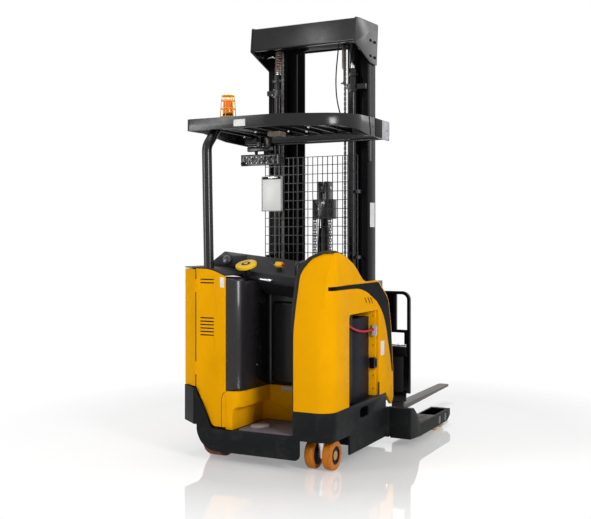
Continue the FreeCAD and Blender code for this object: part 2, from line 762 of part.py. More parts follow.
def rails(stage, foot, top):
    # stage 0 is the fixed outer pair, 1 the middle pair, 2 the inner pair
    outer = mast_half - stage * (rail_width + rail_gap)
    rear = mast_rear + stage * rail_shift
    front = rear + rail_depth
    web = box((rear, front), (outer - rail_web, outer), (foot, top))
    flanges = [box((x, x + rail_flange), (outer - rail_width, outer), (foot, top)) for x in (rear, front - rail_flange)]
    left = joined(web, *flanges)
    return left, mirrored(left)


def stage_rollers(stage, lowest):
    # rollers on the outside of a stage's webs run between the flanges of the stage outside it
    outer = mast_half - stage * (rail_width + rail_gap)
    x = mast_rear + (stage - 1) * rail_shift + rail_depth / 2
    radius = rail_depth / 2 - rail_flange - roller_play
    solids = []
    for z in (lowest, lowest + roller_pitch):
        solids.append(round_bar((x, outer, z), (x, outer + rail_gap + rail_width - rail_web - 6, z), radius))
    return [joined(*pair) for pair in ((solids[0],), (solids[1],))]


def outer_mast():
    left, right = rails(0, mast_foot, mast_top)
    foot = box((mast_rear - 3, mast_rear + rail_flange), (-mast_half, mast_half), (mast_foot, 300))
    return joined(left, right, foot)


def mast_crosshead():
    half = mast_half + 4
    rear = prism([
        (crosshead_rear, crosshead_top, 10), (crosshead_rear - 22, crosshead_top - crosshead_drop, 12),
        (crosshead_rear + 10, crosshead_top - crosshead_drop - 6), (crosshead_rear + 30, crosshead_top - 20),
        (crosshead_front, crosshead_top - 6), (crosshead_front, crosshead_top + 12),
    ], "xz", -half, half)
    cheek = prism([
        (crosshead_rear - 6, crosshead_top + 6, 14), (crosshead_rear - 30, crosshead_top - crosshead_drop - 10, 14),
        (mast_rear + 20, 2905), (mast_rear + 20 + rail_depth - 20, 2905), (mast_rear + rail_depth + 30, 3229, 14),
        (crosshead_rear + 80, 3210),
    ], "xz", mast_half, mast_half + 12)
    return joined(rear, cheek, mirrored(cheek))


def lift_cylinders():
    solids = []
    for side in (-1, 1):
        barrel = round_bar((lift_x, side * lift_y, 300), (lift_x, side * lift_y, 2860), lift_barrel_radius)
        bore = round_bar((lift_x, side * lift_y, 330), (lift_x, side * lift_y, 2861), lift_rod_radius + 0.3)
        foot = box((frame_length + 5, mast_rear - 3), (side * lift_y - 36, side * lift_y + 36), (282, 300))
        clamp = box((lift_x - 36, mast_rear), (side * lift_y - 36, side * lift_y + 36), (2700, 2740))
        arm = box((lift_x, mast_rear), (side * lift_y, side * (mast_half - 5)) if side > 0 else
                  (side * (mast_half - 5), side * lift_y), (2700, 2740))
        solids.append(joined(barrel, foot, clamp, arm).cut(bore))
    return solids


def mast_hose():
    points = [(930, -258, 3184), (930, -256, 3060), (935, -237, 2925), (945, -221, 2800), (955, -217, 2690),
              (958, -228, 2590), (950, -258, 2496), (945, -284, 2400.4)]
    bends = cord_bends(points)
    print("mast_hose bend radii", [round(bend) for bend in bends])
    return pipe(points, hose_radius, bends)


def lift_rods():
    return [round_bar((lift_x, side * lift_y, 345), (lift_x, side * lift_y, 3048), lift_rod_radius) for side in (-1, 1)]


def middle_mast():
    outer = mast_half - rail_width - rail_gap
    rear = mast_rear + rail_shift
    left, right = rails(1, mast_foot + 10, mast_top - 10)
    head = box((lift_x - 45, rear + rail_flange), (-outer, outer), (3048, 3125))
    foot = box((rear, rear + rail_flange), (rail_web - outer, outer - rail_web), (120, 260))
    rollers = stage_rollers(1, 190)
    return joined(left, right, head, foot, *rollers, *[mirrored(roller) for roller in rollers])


def inner_mast():
    outer = mast_half - 2 * (rail_width + rail_gap)
    rear = mast_rear + 2 * rail_shift
    left, right = rails(2, mast_foot + 10, mast_top - 10)
    head = box((rear, rear + 10), (-outer, outer), (3040, 3120))
    foot = box((rear + 5, rear + 110), (rail_web - outer, outer - rail_web), (mast_foot + 10, 120))
    middle = box((rear, rear + 8), (-outer, outer), (1150, 1230))
    rollers = stage_rollers(2, 190)
    return joined(left, right, head, foot, middle, *rollers, *[mirrored(roller) for roller in rollers])


def free_lift_cylinder():
    barrel = round_bar((free_lift_x, 0, 120), (free_lift_x, 0, free_barrel_top), free_barrel_radius)
    bore = round_bar((free_lift_x, 0, 180), (free_lift_x, 0, free_barrel_top + 1), free_rod_radius + 0.3)
    stay = box((mast_rear + 2 * rail_shift + 8, free_lift_x), (-30, 30), (1160, 1220))
    return joined(barrel, stay).cut(bore)


def free_lift_head():
    rod = round_bar((free_lift_x, 0, 520), (free_lift_x, 0, 1730), free_rod_radius)
    block = box((free_lift_x - 38, free_lift_x + 38), (-90, 90), (free_block_foot, 1868))
    cheeks = [box((free_lift_x - 38, free_lift_x + 38), (side * 32 - 18, side * 32 + 18), (1868, free_head_top))
              for side in (-1, 1)]
    return joined(rod, block, *cheeks)


def lift_carriage():
    channel_x = mast_rear + 2 * rail_shift + rail_depth / 2
    inside = mast_half - 3 * rail_width - 2 * rail_gap
    front = mast_rear + 2 * rail_shift + rail_depth
    plate_y = inside - 7
    solids = []
    for side in (-1, 1):
        low, high = sorted((side * (plate_y - 22), side * plate_y))
        solids.append(box((channel_x - 55, front + 22), (low, high), (290, 1010)))
        for z in (320, 320 + roller_pitch):
            solids.append(round_bar((channel_x, side * plate_y, z), (channel_x, side * (inside + rail_width - rail_web - 6), z),
                                    rail_depth / 2 - rail_flange - roller_play))
    face_x = front + 16
    plate = box((face_x, face_x + 16), (-362, 362), (190, 1100))
    plate = plate.cut(box((0, 3000), (-plate_y + 60, plate_y - 60), (330, 900)))
    solids.append(plate)
    for side in (-1, 1):
        ear = prism([(face_x + 10, pin_z - 45), (rear_pin_x, pin_z - 45, 0), (rear_pin_x + 38, pin_z, 30),
                     (rear_pin_x, pin_z + 45), (face_x + 10, pin_z + 45)], "xz", arm_inner - 36, arm_inner - 8)
        guide_y = arm_inner + 2 * arm_thickness + arm_gap + 6
        rear_guide = box((face_x + 14, rear_pin_x - roller_radius - 0.3), (guide_y, guide_y + 26), (520, 1100))
        front_guide = box((rear_pin_x + roller_radius + 0.3, rear_pin_x + roller_radius + 10), (guide_y, guide_y + 34),
                          (520, 1100))
        web = box((face_x + 14, rear_pin_x + roller_radius + 10), (guide_y + 26, guide_y + 34), (520, 1100))
        pin = round_bar((rear_pin_x, arm_inner - 36, pin_z), (rear_pin_x, arm_inner + arm_thickness, pin_z), pin_radius)
        group = [ear, rear_guide, front_guide, web, pin]
        solids += group if side > 0 else [mirrored(solid) for solid in group]
    return joined(*solids)


def arm_angle(span):
    return math.acos(span / arm_length)


def arm(low_x, low_z, high_x, high_z, y_low):
    # a flat bar with round ends between two pins
    half = arm_width / 2
    along = Vector(high_x - low_x, 0, high_z - low_z)
    bar = box((0, along.Length), (0, arm_thickness), (-half, half))
    ends = [round_bar((x, 0, 0), (x, arm_thickness, 0), half) for x in (0, along.Length)]
    solid = joined(bar, *ends)
    solid.rotate(Vector(0, 0, 0), Vector(0, 1, 0), -math.degrees(math.atan2(along.z, along.x)))
    solid.translate(Vector(low_x, y_low, low_z))
    return solid


def reach_arms_inner():
    # hinged low on the lift carriage; the top rollers ride up and down behind the reach carriage
    top = pin_z + arm_length * math.sin(arm_angle(closed_span))
    front_x = rear_pin_x + closed_span
    left = arm(rear_pin_x, pin_z, front_x, top, arm_inner)
    left = left.cut(round_bar((rear_pin_x, 0, pin_z), (rear_pin_x, 400, pin_z), pin_radius + 0.3))
    roller = round_bar((front_x, arm_inner - 32, top), (front_x, arm_inner + 1, top), roller_radius)
    middle_x = (rear_pin_x + front_x) / 2
    middle_z = (pin_z + top) / 2
    pin = round_bar((middle_x, arm_inner, middle_z), (middle_x, arm_inner + 2 * arm_thickness + arm_gap, middle_z), pin_radius)
    left = joined(left, roller, pin)
    tie_x = rear_pin_x + closed_span * 0.36
    tie_z = pin_z + (top - pin_z) * 0.36
    tie = round_bar((tie_x, -arm_inner - 1, tie_z), (tie_x, arm_inner + 1, tie_z), 18)
    return joined(left, mirrored(left), tie)


def reach_arms_outer():
    # hinged at the middle of the inner arms; the low ends carry the reach carriage
    top = pin_z + arm_length * math.sin(arm_angle(closed_span))
    front_x = rear_pin_x + closed_span
    low_y = arm_inner + arm_thickness + arm_gap
    left = arm(front_x, pin_z, rear_pin_x, top, low_y)
    middle = ((rear_pin_x + front_x) / 2, (pin_z + top) / 2)
    left = left.cut(round_bar((middle[0], 0, middle[1]), (middle[0], 500, middle[1]), pin_radius + 0.3))
    left = left.cut(round_bar((front_x, 0, pin_z), (front_x, 500, pin_z), pin_radius + 0.3))
    roller = round_bar((rear_pin_x, low_y + arm_thickness - 1, top), (rear_pin_x, low_y + arm_thickness + 30, top),
                       roller_radius)
    return [joined(left, roller), mirrored(joined(left, roller))]


def reach_carriage():
    front_x = rear_pin_x + closed_span
    top = pin_z + arm_length * math.sin(arm_angle(closed_span)) + 45
    plate_x = front_x + arm_width / 2 + 8
    outer_ear = arm_inner + 2 * arm_thickness + arm_gap + 8
    plate = box((plate_x, plate_x + 12), (-outer_ear - 30, outer_ear + 30), (170, 690))
    plate = plate.cut(box((0, 3000), (-180, 180), (300, 560)))
    solids = [plate]
    for side in (-1, 1):
        ear = prism([(plate_x + 10, pin_z - 48), (front_x, pin_z - 48), (front_x - 40, pin_z, 34), (front_x, pin_z + 48),
                     (plate_x + 10, pin_z + 48)], "xz", outer_ear, outer_ear + 26)
        pin = round_bar((front_x, outer_ear - arm_thickness - 6, pin_z), (front_x, outer_ear + 26, pin_z), pin_radius)
        guide = box((front_x + roller_radius + 0.3, plate_x + 12), (arm_inner - 38, arm_inner - 8), (300, top))
        rear_guide = box((front_x - roller_radius - 9, front_x - roller_radius - 0.3), (arm_inner - 46, arm_inner - 8),
                         (300, top))
        web = box((front_x - roller_radius - 9, plate_x + 12), (arm_inner - 46, arm_inner - 38), (300, top))
        knuckle = joined(box((plate_x + 10, tilt_x), (120, 160), (tilt_z - 22, tilt_z + 22)),
                         round_bar((tilt_x, 120, tilt_z), (tilt_x, 160, tilt_z), 22))
        group = [ear, pin, guide, rear_guide, web, knuckle]
        solids += group if side > 0 else [mirrored(solid) for solid in group]
    return joined(*solids).cut(round_bar((tilt_x, -400, tilt_z), (tilt_x, 400, tilt_z), 14.3))


def fork_carriage():
    rear = 1675
    front = fork_face - shank_thickness
    top_bar = box((rear, front), (-bar_half, bar_half), (585, 660))
    low_bar = box((rear, front), (-bar_half, bar_half), (215, 290))
    uprights = [box((rear, front), (y - 20, y + 20), (215, 660)) for y in (-220, 220)]
    shaft = round_bar((tilt_x, -212, tilt_z), (tilt_x, 212, tilt_z), 14)
    ears = [joined(box((tilt_x, rear + 1), (y - 12, y + 12), (tilt_z - 20, tilt_z + 20)),
                   round_bar((tilt_x, y - 12, tilt_z), (tilt_x, y + 12, tilt_z), 20)) for y in (-200, 200)]
    return joined(top_bar, low_bar, *uprights, *ears, shaft)


def fork():
    low = fork_top - blade_thickness
    tip = overall_length
    outline = [(fork_face - shank_thickness, low, 30), (tip - 60, low + 22), (tip, fork_top - 12, 4), (tip, fork_top),
               (fork_face, fork_top, 12), (fork_face, 662), (fork_face - shank_thickness, 662)]
    blade = prism(outline, "xz", fork_outer - fork_width, fork_outer)
    plan = [(fork_face - shank_thickness, fork_outer - fork_width), (tip, fork_outer - fork_width, 34),
            (tip, fork_outer, 34), (fork_face - shank_thickness, fork_outer)]
    return blade.common(prism(plan, "xy", 0, 1000))


def load_backrest():
    rear = fork_face - shank_thickness
    front = rear + 28
    bar = 26
    outer = prism([(-backrest_half, backrest_foot), (-backrest_half, backrest_top, 70), (backrest_half, backrest_top, 70),
                   (backrest_half, backrest_foot)], "yz", rear, front)
    inner = prism([(bar - backrest_half, backrest_foot - 1), (bar - backrest_half, backrest_top - bar, 46),
                   (backrest_half - bar, backrest_top - bar, 46), (backrest_half - bar, backrest_foot - 1)], "yz",
                  rear - 1, front + 1)
    frame = outer.cut(inner)
    cross = box((rear, front), (-backrest_half + 5, backrest_half - 5), (backrest_crossbar - 12, backrest_crossbar + 12))
    uprights = [box((rear, front), (y - 14, y + 14), (backrest_crossbar, backrest_top - 10))
                for y in (-415, -140, 140, 415)]
    lower = [box((rear, front), (y - 14, y + 14), (664, backrest_crossbar)) for y in (-140, 140)]
    solids = [frame, cross, *uprights, *lower]
    for side in (-1, 1):
        y = sorted((side * (fork_outer + 4), side * (backrest_half - 5)))
        solids.append(box((rear, front), y, (backrest_foot, 612)))
        y = sorted((side * 498, side * (backrest_half - 5)))
        solids.append(box((rear, front), y, (600, backrest_crossbar)))
    return joined(*solids)


os.makedirs("parts", exist_ok=True)
right_leg = mirrored(outrigger())
save("base_frame", base_frame())
save("outrigger_left", outrigger())
save("outrigger_right", right_leg)
for name, station in zip(("rear", "front"), load_wheel_stations):
    save(f"load_wheel_left_{name}", load_wheel(station))
    save(f"load_wheel_right_{name}", mirrored(load_wheel(station)))
save("drive_wheel", drive_wheel())
save("drive_unit", drive_unit())
save("drive_motor", drive_mount())
save("caster_bracket", caster_bracket())
save("caster_wheels", caster_wheels())
save("platform_floor", platform_floor())
save("kick_panel", kick_panel())
save("compartment_wall", compartment_wall())
save("drive_cabinet", drive_cabinet())
save("cabinet_side_door", cabinet_side_door())
save("cabinet_top_cover", cabinet_top_cover())
save("console", console())
save("display_pod", display_pod())
save("steering_disc", steering_disc())
save("control_handle", control_handle())
save("grab_handle", grab_handle())
save("pod_panel", pod_panel())
save("pod_pad", pod_pad())
save("battery", battery())
save("battery_bay_panel", battery_bay_panel())
save("battery_retainer", battery_retainer())
save("battery_connector", battery_connector())
save("battery_cable", battery_cable())
save("battery_cover", battery_cover())
save("front_cover", front_cover())
save("left_panel", left_panel())
save("overhead_guard", overhead_guard())
save("guard_post", guard_post())
save("guard_brackets", *guard_brackets())
save("beacon", beacon())
save("beacon_cage", beacon_cage())
save("accessory_bracket", accessory_bracket())
save("document_holder", document_holder())
save("mesh_screen", mesh_screen())
save("outer_mast", outer_mast())
save("mast_crosshead", mast_crosshead())
save("lift_cylinders", *lift_cylinders())
save("mast_hose", mast_hose())
save("lift_rods", *lift_rods())
save("middle_mast", middle_mast())
save("inner_mast", inner_mast())
save("free_lift_cylinder", free_lift_cylinder())
save("free_lift_head", free_lift_head())
save("lift_carriage", lift_carriage())
save("reach_arms_inner", reach_arms_inner())
save("reach_arms_outer", *reach_arms_outer())
save("reach_carriage", reach_carriage())
save("fork_carriage", fork_carriage())
save("forks", fork(), mirrored(fork()))
save("load_backrest", load_backrest())
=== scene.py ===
import bpy
import json
import math
from mathutils import Matrix, Vector

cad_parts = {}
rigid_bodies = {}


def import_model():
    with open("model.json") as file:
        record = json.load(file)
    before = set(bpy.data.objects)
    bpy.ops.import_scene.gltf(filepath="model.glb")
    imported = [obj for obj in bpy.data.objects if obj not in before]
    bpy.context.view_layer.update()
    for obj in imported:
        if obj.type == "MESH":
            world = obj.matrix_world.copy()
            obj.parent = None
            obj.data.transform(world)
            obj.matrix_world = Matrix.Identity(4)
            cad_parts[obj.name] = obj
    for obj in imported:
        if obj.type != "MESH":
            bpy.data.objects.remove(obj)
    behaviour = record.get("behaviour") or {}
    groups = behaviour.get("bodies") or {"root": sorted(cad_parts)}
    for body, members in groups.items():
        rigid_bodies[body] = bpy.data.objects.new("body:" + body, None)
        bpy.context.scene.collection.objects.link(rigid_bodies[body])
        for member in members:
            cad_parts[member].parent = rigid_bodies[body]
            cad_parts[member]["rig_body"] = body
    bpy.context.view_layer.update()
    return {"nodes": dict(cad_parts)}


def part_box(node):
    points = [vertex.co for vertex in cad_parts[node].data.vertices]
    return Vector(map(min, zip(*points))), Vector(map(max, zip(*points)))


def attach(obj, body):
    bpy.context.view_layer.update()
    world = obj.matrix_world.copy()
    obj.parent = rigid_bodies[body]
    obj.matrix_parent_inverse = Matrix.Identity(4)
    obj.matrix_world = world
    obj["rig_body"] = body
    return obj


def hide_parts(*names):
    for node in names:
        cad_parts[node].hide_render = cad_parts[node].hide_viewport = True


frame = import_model()
cadNodes = frame["nodes"]
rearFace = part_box("base_frame")[0].x  # the rear face of the base, from which lengths are measured
print("frame loaded:", len(cadNodes), "CAD nodes")


# Small tools for modelling

def place(x, y, z):
    # millimetres forward of the rear face, to the left and above the floor
    return Vector((x / 1000 + rearFace, y / 1000, z / 1000))


def clearSelection():
    if bpy.context.mode != "OBJECT":
        bpy.ops.object.mode_set(mode="OBJECT")
    bpy.ops.object.select_all(action="DESELECT")


def pick(piece):
    clearSelection()
    piece.select_set(True)
    bpy.context.view_layer.objects.active = piece
    return piece


def settle(piece):
    # moves the object's place into its mesh
    pick(piece)
    bpy.ops.object.transform_apply(location=True, rotation=True, scale=True)
    return piece


def modify(piece, kind, **settings):
    pick(piece)
    modifier = piece.modifiers.new(kind.lower(), kind)
    for name, value in settings.items():
        setattr(modifier, name, value)
    bpy.ops.object.modifier_apply(modifier=modifier.name)
    return piece


def chamfer(piece, width, segments=2):
    # width in millimetres
    if width:
        modify(piece, "BEVEL", width=width / 1000, segments=segments, limit_method="ANGLE",
               angle_limit=math.radians(32), use_clamp_overlap=False, miter_outer="MITER_ARC")
    return piece


def smooth(piece, angle=38):
    pick(piece)
    bpy.ops.object.shade_smooth_by_angle(angle=math.radians(angle))
    return piece


def editWhole(piece, *steps):
    # each step is a mesh operator and its settings, run with everything selected
    pick(piece)
    bpy.ops.object.mode_set(mode="EDIT")
    for operator, settings in steps:
        bpy.ops.mesh.select_all(action="SELECT")
        operator(**settings)
    bpy.ops.object.mode_set(mode="OBJECT")
    return piece


def stand(name, axis):
    # names the new object and turns its Z along the axis
    piece = bpy.context.object
    piece.name = name
    piece.rotation_mode = "QUATERNION"
    piece.rotation_quaternion = Vector((0, 0, 1)).rotation_difference(axis)
    return settle(piece)


def addBox(name, x, y, z, round=1.5, segments=2):
    # x, y and z are (low, high) pairs in millimetres
    low, high = place(x[0], y[0], z[0]), place(x[1], y[1], z[1])
    clearSelection()
    bpy.ops.mesh.primitive_cube_add(size=1, location=(low + high) / 2)
    piece = bpy.context.object
    piece.name = name
    piece.scale = high - low
    return chamfer(settle(piece), round, segments)


def addBar(name, start, end, radius, sides=32, round=1, endRadius=None):
    # a round bar, or a cone where endRadius is given; start and end are (x, y, z) in millimetres
    first, last = place(*start), place(*end)
    run = last - first
    clearSelection()
    bpy.ops.mesh.primitive_cone_add(vertices=sides, radius1=radius / 1000,
                                    radius2=(radius if endRadius is None else endRadius) / 1000,
                                    depth=run.length, location=(first + last) / 2)
    return chamfer(stand(name, run), round)


def addRing(name, centre, axis, radius, wire, sides=40):
    clearSelection()
    bpy.ops.mesh.primitive_torus_add(location=place(*centre), major_segments=sides, minor_segments=10,
                                     major_radius=radius / 1000, minor_radius=wire / 1000)
    return stand(name, Vector(axis))


def addOutline(name, corners, plane, low, high, round=1.5, segments=2):
    # a flat outline of (a, b) corners in millimetres, extruded from low to high along the third axis
    spot = {"xy": lambda a, b, c: place(a, b, c), "xz": lambda a, b, c: place(a, c, b)}[plane]
    rise = spot(0, 0, high) - spot(0, 0, low)
    clearSelection()
    bpy.ops.mesh.primitive_circle_add(vertices=len(corners), radius=1, fill_type="NGON")
    piece = bpy.context.object
    piece.name = name
    for vertex, (a, b) in zip(piece.data.vertices, corners):
        vertex.co = spot(a, b, low) - piece.location
    editWhole(piece, (bpy.ops.mesh.extrude_region_move, {"TRANSFORM_OT_translate": {"value": rise}}),
              (bpy.ops.mesh.normals_make_consistent, {"inside": False}))
    return chamfer(settle(piece), round, segments)


def rounded(corners, steps=6):
    # corners are (a, b, radius); each is replaced by points on its arc
    points = []
    for index, corner in enumerate(corners):
        spot = Vector(corner[:2])
        radius = corner[2] if len(corner) > 2 else 0
        if not radius:
            points.append(tuple(spot))
            continue
        back = (Vector(corners[index - 1][:2]) - spot).normalized()
        ahead = (Vector(corners[(index + 1) % len(corners)][:2]) - spot).normalized()
        half = back.angle(ahead) / 2
        centre = spot + (back + ahead).normalized() * radius / math.sin(half)
        start = (spot + back * radius / math.tan(half) - centre).normalized()
        end = (spot + ahead * radius / math.tan(half) - centre).normalized()
        for step in range(steps + 1):
            points.append(tuple(centre + start.slerp(end, step / steps) * radius))
    return points


def addHose(name, points, radius, sides=12):
    # a smooth line through (x, y, z) points in millimetres
    clearSelection()
    bpy.ops.curve.primitive_nurbs_path_add(location=(0, 0, 0))
    piece = bpy.context.object
    piece.name = name
    curve = piece.data
    curve.splines.clear()
    spline = curve.splines.new("NURBS")
    spline.points.add(len(points) - 1)
    for point, spot in zip(spline.points, points):
        point.co = (*place(*spot), 1)
    spline.order_u = 3
    spline.use_endpoint_u = True
    spline.resolution_u = 8
    curve.resolution_u = 8
    curve.bevel_depth = radius / 1000
    curve.bevel_resolution = max(1, sides // 4)
    curve.use_fill_caps = True
    return settle(piece)


def meshOf(curve):
    pick(curve)
    bpy.ops.object.convert(target="MESH")
    return bpy.context.object


def copied(piece, name, matrix):
    # a copy with its own mesh, moved by a matrix
    twin = piece.copy()
    twin.data = piece.data.copy()
    twin.name = name
    bpy.context.scene.collection.objects.link(twin)
    twin.data.transform(matrix)
    return twin


def flipped(piece, name):
    # the mirror image on the other side of the middle plane
    return editWhole(copied(piece, name, Matrix.Diagonal((1, -1, 1, 1))), (bpy.ops.mesh.flip_normals, {}))


def addBoxes(name, x, y, z, round):
    # x, y and z are lists of (low, high) pairs, with a box for each combination
    return joinAll(name, [addBox(name, wide, deep, tall, round) for tall in z for deep in y for wide in x])


def addBars(name, bars, *shape):
    # each bar is a start, an end and what it does not share with the others
    return joinAll(name, [addBar(name, *bar, *shape) for bar in bars])


def joinAll(name, pieces):
    clearSelection()
    for piece in pieces:
        piece.select_set(True)
    bpy.context.view_layer.objects.active = pieces[0]
    if len(pieces) > 1:
        bpy.ops.object.join()
    pieces[0].name = name
    return pieces[0]


def carve(piece, cutter):
    modify(piece, "BOOLEAN", operation="DIFFERENCE", object=cutter, solver="EXACT")
    bpy.data.objects.remove(cutter)
    return piece


def nodeCopy(node, name):
    # a merged copy of a CAD node's mesh, with its flat faces whole
    source = cadNodes[node]
    clearSelection()
    piece = source.copy()
    piece.data = source.data.copy()
    piece.name = name
    for key in list(piece.keys()):
        if key.startswith("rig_"):
            del piece[key]
    bpy.context.scene.collection.objects.link(piece)
    piece.hide_viewport = piece.hide_render = False
    piece.hide_set(False)
    piece.parent = None
    piece.matrix_world = Matrix.Identity(4)
    editWhole(piece, (bpy.ops.mesh.remove_doubles, {"threshold": 0.00002}),
              (bpy.ops.mesh.dissolve_limited, {"angle_limit": math.radians(0.2)}))
    if piece.data.has_custom_normals:
        bpy.ops.mesh.customdata_custom_splitnormals_clear()
    return piece


def finish(piece, body, surface, replaces=(), angle=38):
    # surface is a key of surfaces; its material goes on the piece
    if piece.type == "MESH":
        smooth(piece, angle)
    piece.data.materials.clear()
    piece.data.materials.append(surfaces[surface]["material"])
    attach(piece, body)
    if replaces:
        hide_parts(*replaces)
    return piece


def trim(name, sizes, surface, body="chassis"):
    # a plain box on the part, from its dictionary of sizes
    return finish(addBox(name, **sizes), body, surface)


def on(node):
    # the body that a CAD node moves with
    return cadNodes[node]["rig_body"]


def camelName(node):
    first, *others = node.split("_")
    return first + "".join(other.capitalize() for other in others)


def both(piece, cutter):
    # keeps what lies in both
    modify(piece, "BOOLEAN", operation="INTERSECT", object=cutter, solver="EXACT")
    bpy.data.objects.remove(cutter)
    return piece


def inset(points, distance):
    # a clockwise closed line moved inwards
    moved = []
    for index, point in enumerate(points):
        last, following = Vector(points[index - 1]), Vector(points[(index + 1) % len(points)])
        along = (following - last).normalized()
        moved.append((point[0] + along.y * distance, point[1] - along.x * distance))
    return moved


def curved(points, steps):
    # a smooth open line through the points
    line = []
    spots = [Vector(point) for point in [points[0]] + list(points) + [points[-1]]]
    for before, start, end, after in zip(spots, spots[1:], spots[2:], spots[3:]):
        for step in range(steps):
            t = step / steps
            square = 2 * before - 5 * start + 4 * end - after
            cube = 3 * start - before - 3 * end + after
            line.append(tuple(0.5 * (2 * start + (end - before) * t + square * t ** 2 + cube * t ** 3)))
    return line + [tuple(points[-1])]


def stadium(start, end, radius, steps=6):
    # a slot outline with round ends
    start, end = Vector(start), Vector(end)
    turn = math.atan2(end.y - start.y, end.x - start.x)
    corners = []
    for centre, base in ((end, turn - math.pi / 2), (start, turn + math.pi / 2)):
        for step in range(steps + 1):
            angle = base + math.pi * step / steps
            corners.append((centre.x + radius * math.cos(angle), centre.y + radius * math.sin(angle)))
    return corners


def alongAxis(spot, axis, reach):
    return tuple(Vector(spot) + Vector(axis).normalized() * reach)


def addBoss(name, base, low, high, radius, sides, round):
    # a round bar on the axis of a dial or a disc, from low to high over its centre
    ends = [alongAxis(base["centre"], base["axis"], reach) for reach in (low, high)]
    return addBar(name, *ends, radius, sides, round)


def addBolts(name, body, surface, spots, axis, radius, height):
    # domed heads standing on the given spots, modelled once and copied
    sides, dome = 20, height * 0.35
    start, end = (alongAxis(spots[0], axis, reach) for reach in (-1, height))
    first = addBar(name, start, end, radius, sides, dome)
    steps = [(Vector(spot) - Vector(spots[0])) / 1000 for spot in spots[1:]]
    copies = [copied(first, name, Matrix.Translation(step)) for step in steps]
    return finish(joinAll(name, [first] + copies), body, surface)


def addSpring(name, spring):
    x, y = spring["spot"]
    stepsATurn = 10
    steps = spring["turns"] * stepsATurn
    points = []
    for step in range(steps + 1):
        angle = math.tau * step / stepsATurn
        points.append((x + spring["radius"] * math.cos(angle), y + spring["radius"] * math.sin(angle),
                       spring["low"] + (spring["high"] - spring["low"]) * step / steps))
    return meshOf(addHose(name, points, spring["wire"], 8))


def addChain(name, chain):
    # leaf chain: plates in two alternating rows on cross pins
    x, y, z, pitch, wide = chain["x"], chain["y"], chain["low"], chain["pitch"], chain["width"]
    thick, pinRadius = 1.4, chain["plate"] * 0.24
    pinReach = wide + 2.4
    parts = []
    for row, places in enumerate(((-1, 0, 1), (-0.5, 0.5))):
        low = z + row * pitch
        outline = stadium((x, low), (x, low + pitch), chain["plate"] / 2, 4)
        for step in places:
            middle = y + step * wide
            parts.append(addOutline(name, outline, "xz", middle - thick, middle + thick, 0.3, 1))
        parts.append(addBar(name, (x, y - pinReach, low), (x, y + pinReach, low), pinRadius, 12, 0.4))
    links = joinAll(name, parts)
    return modify(links, "ARRAY", count=int((chain["high"] - z) / (2 * pitch)), use_relative_offset=False,
                  use_constant_offset=True, constant_offset_displace=(0, 0, 0.002 * pitch))


def swollen(piece, radius):
    # a firm pad: round edges, fuller in the middle of each side than near its corners
    crown = 0.005
    chamfer(piece, radius, 6)
    modify(piece, "REMESH", mode="VOXEL", voxel_size=0.007)
    spots = [vertex.co for vertex in piece.data.vertices]
    low = Vector([min(spot[axis] for spot in spots) for axis in range(3)])
    high = Vector([max(spot[axis] for spot in spots) for axis in range(3)])
    centre, half = (low + high) / 2, (high - low) / 2
    for vertex in piece.data.vertices:
        share = [(vertex.co[axis] - centre[axis]) / half[axis] for axis in range(3)]
        for axis in range(3):
            others = [1 - share[other] ** 2 for other in range(3) if other != axis]
            vertex.co[axis] += share[axis] * (others[0] * others[1] - 1) * crown
    modify(piece, "SMOOTH", iterations=8, factor=0.5)
    return modify(piece, "SUBSURF", levels=1, render_levels=1)


def addDialTick(dial, step):
    # one of the short marks round a dial
    axis = Vector(dial["axis"]).normalized()
    across = axis.cross(Vector((0, 0, 1))).normalized()
    angle = math.radians(-120 + 30 * step)
    spoke = across * math.sin(angle) - axis.cross(across) * math.cos(angle)
    root = Vector(dial["centre"]) + axis * 9
    inner, outer = (root + spoke * dial["radius"] * share for share in (0.5, 0.68))
    return addBar("dialTick", inner, outer, 1, 8, 0)


# Finishes

class Signal:
    # one output of a shader node, so that masks can be written as sums
    def __init__(self, tree, socket):
        self.tree = tree
        self.socket = socket

    def maths(self, operation, other, swapped=False):
        node = self.tree.nodes.new("ShaderNodeMath")
        node.operation = operation
        for socket, value in zip(node.inputs, (other, self) if swapped else (self, other)):
            connect(self.tree, value, socket)
        return Signal(self.tree, node.outputs[0])

    def __add__(self, other):
        return self.maths("ADD", other)

    def __radd__(self, other):
        return self.maths("ADD", other, True)

    def __sub__(self, other):
        return self.maths("SUBTRACT", other)

    def __rsub__(self, other):
        return self.maths("SUBTRACT", other, True)

    def __mul__(self, other):
        return self.maths("MULTIPLY", other)

    def __rmul__(self, other):
        return self.maths("MULTIPLY", other, True)

    def __pow__(self, other):
        return self.maths("POWER", other)

    def larger(self, other):
        return self.maths("MAXIMUM", other)


def connect(tree, value, socket):
    if isinstance(value, Signal):
        tree.links.new(value.socket, socket)
    elif socket.type == "RGBA" and len(value) == 3:
        socket.default_value = (*value, 1)
    else:
        socket.default_value = value


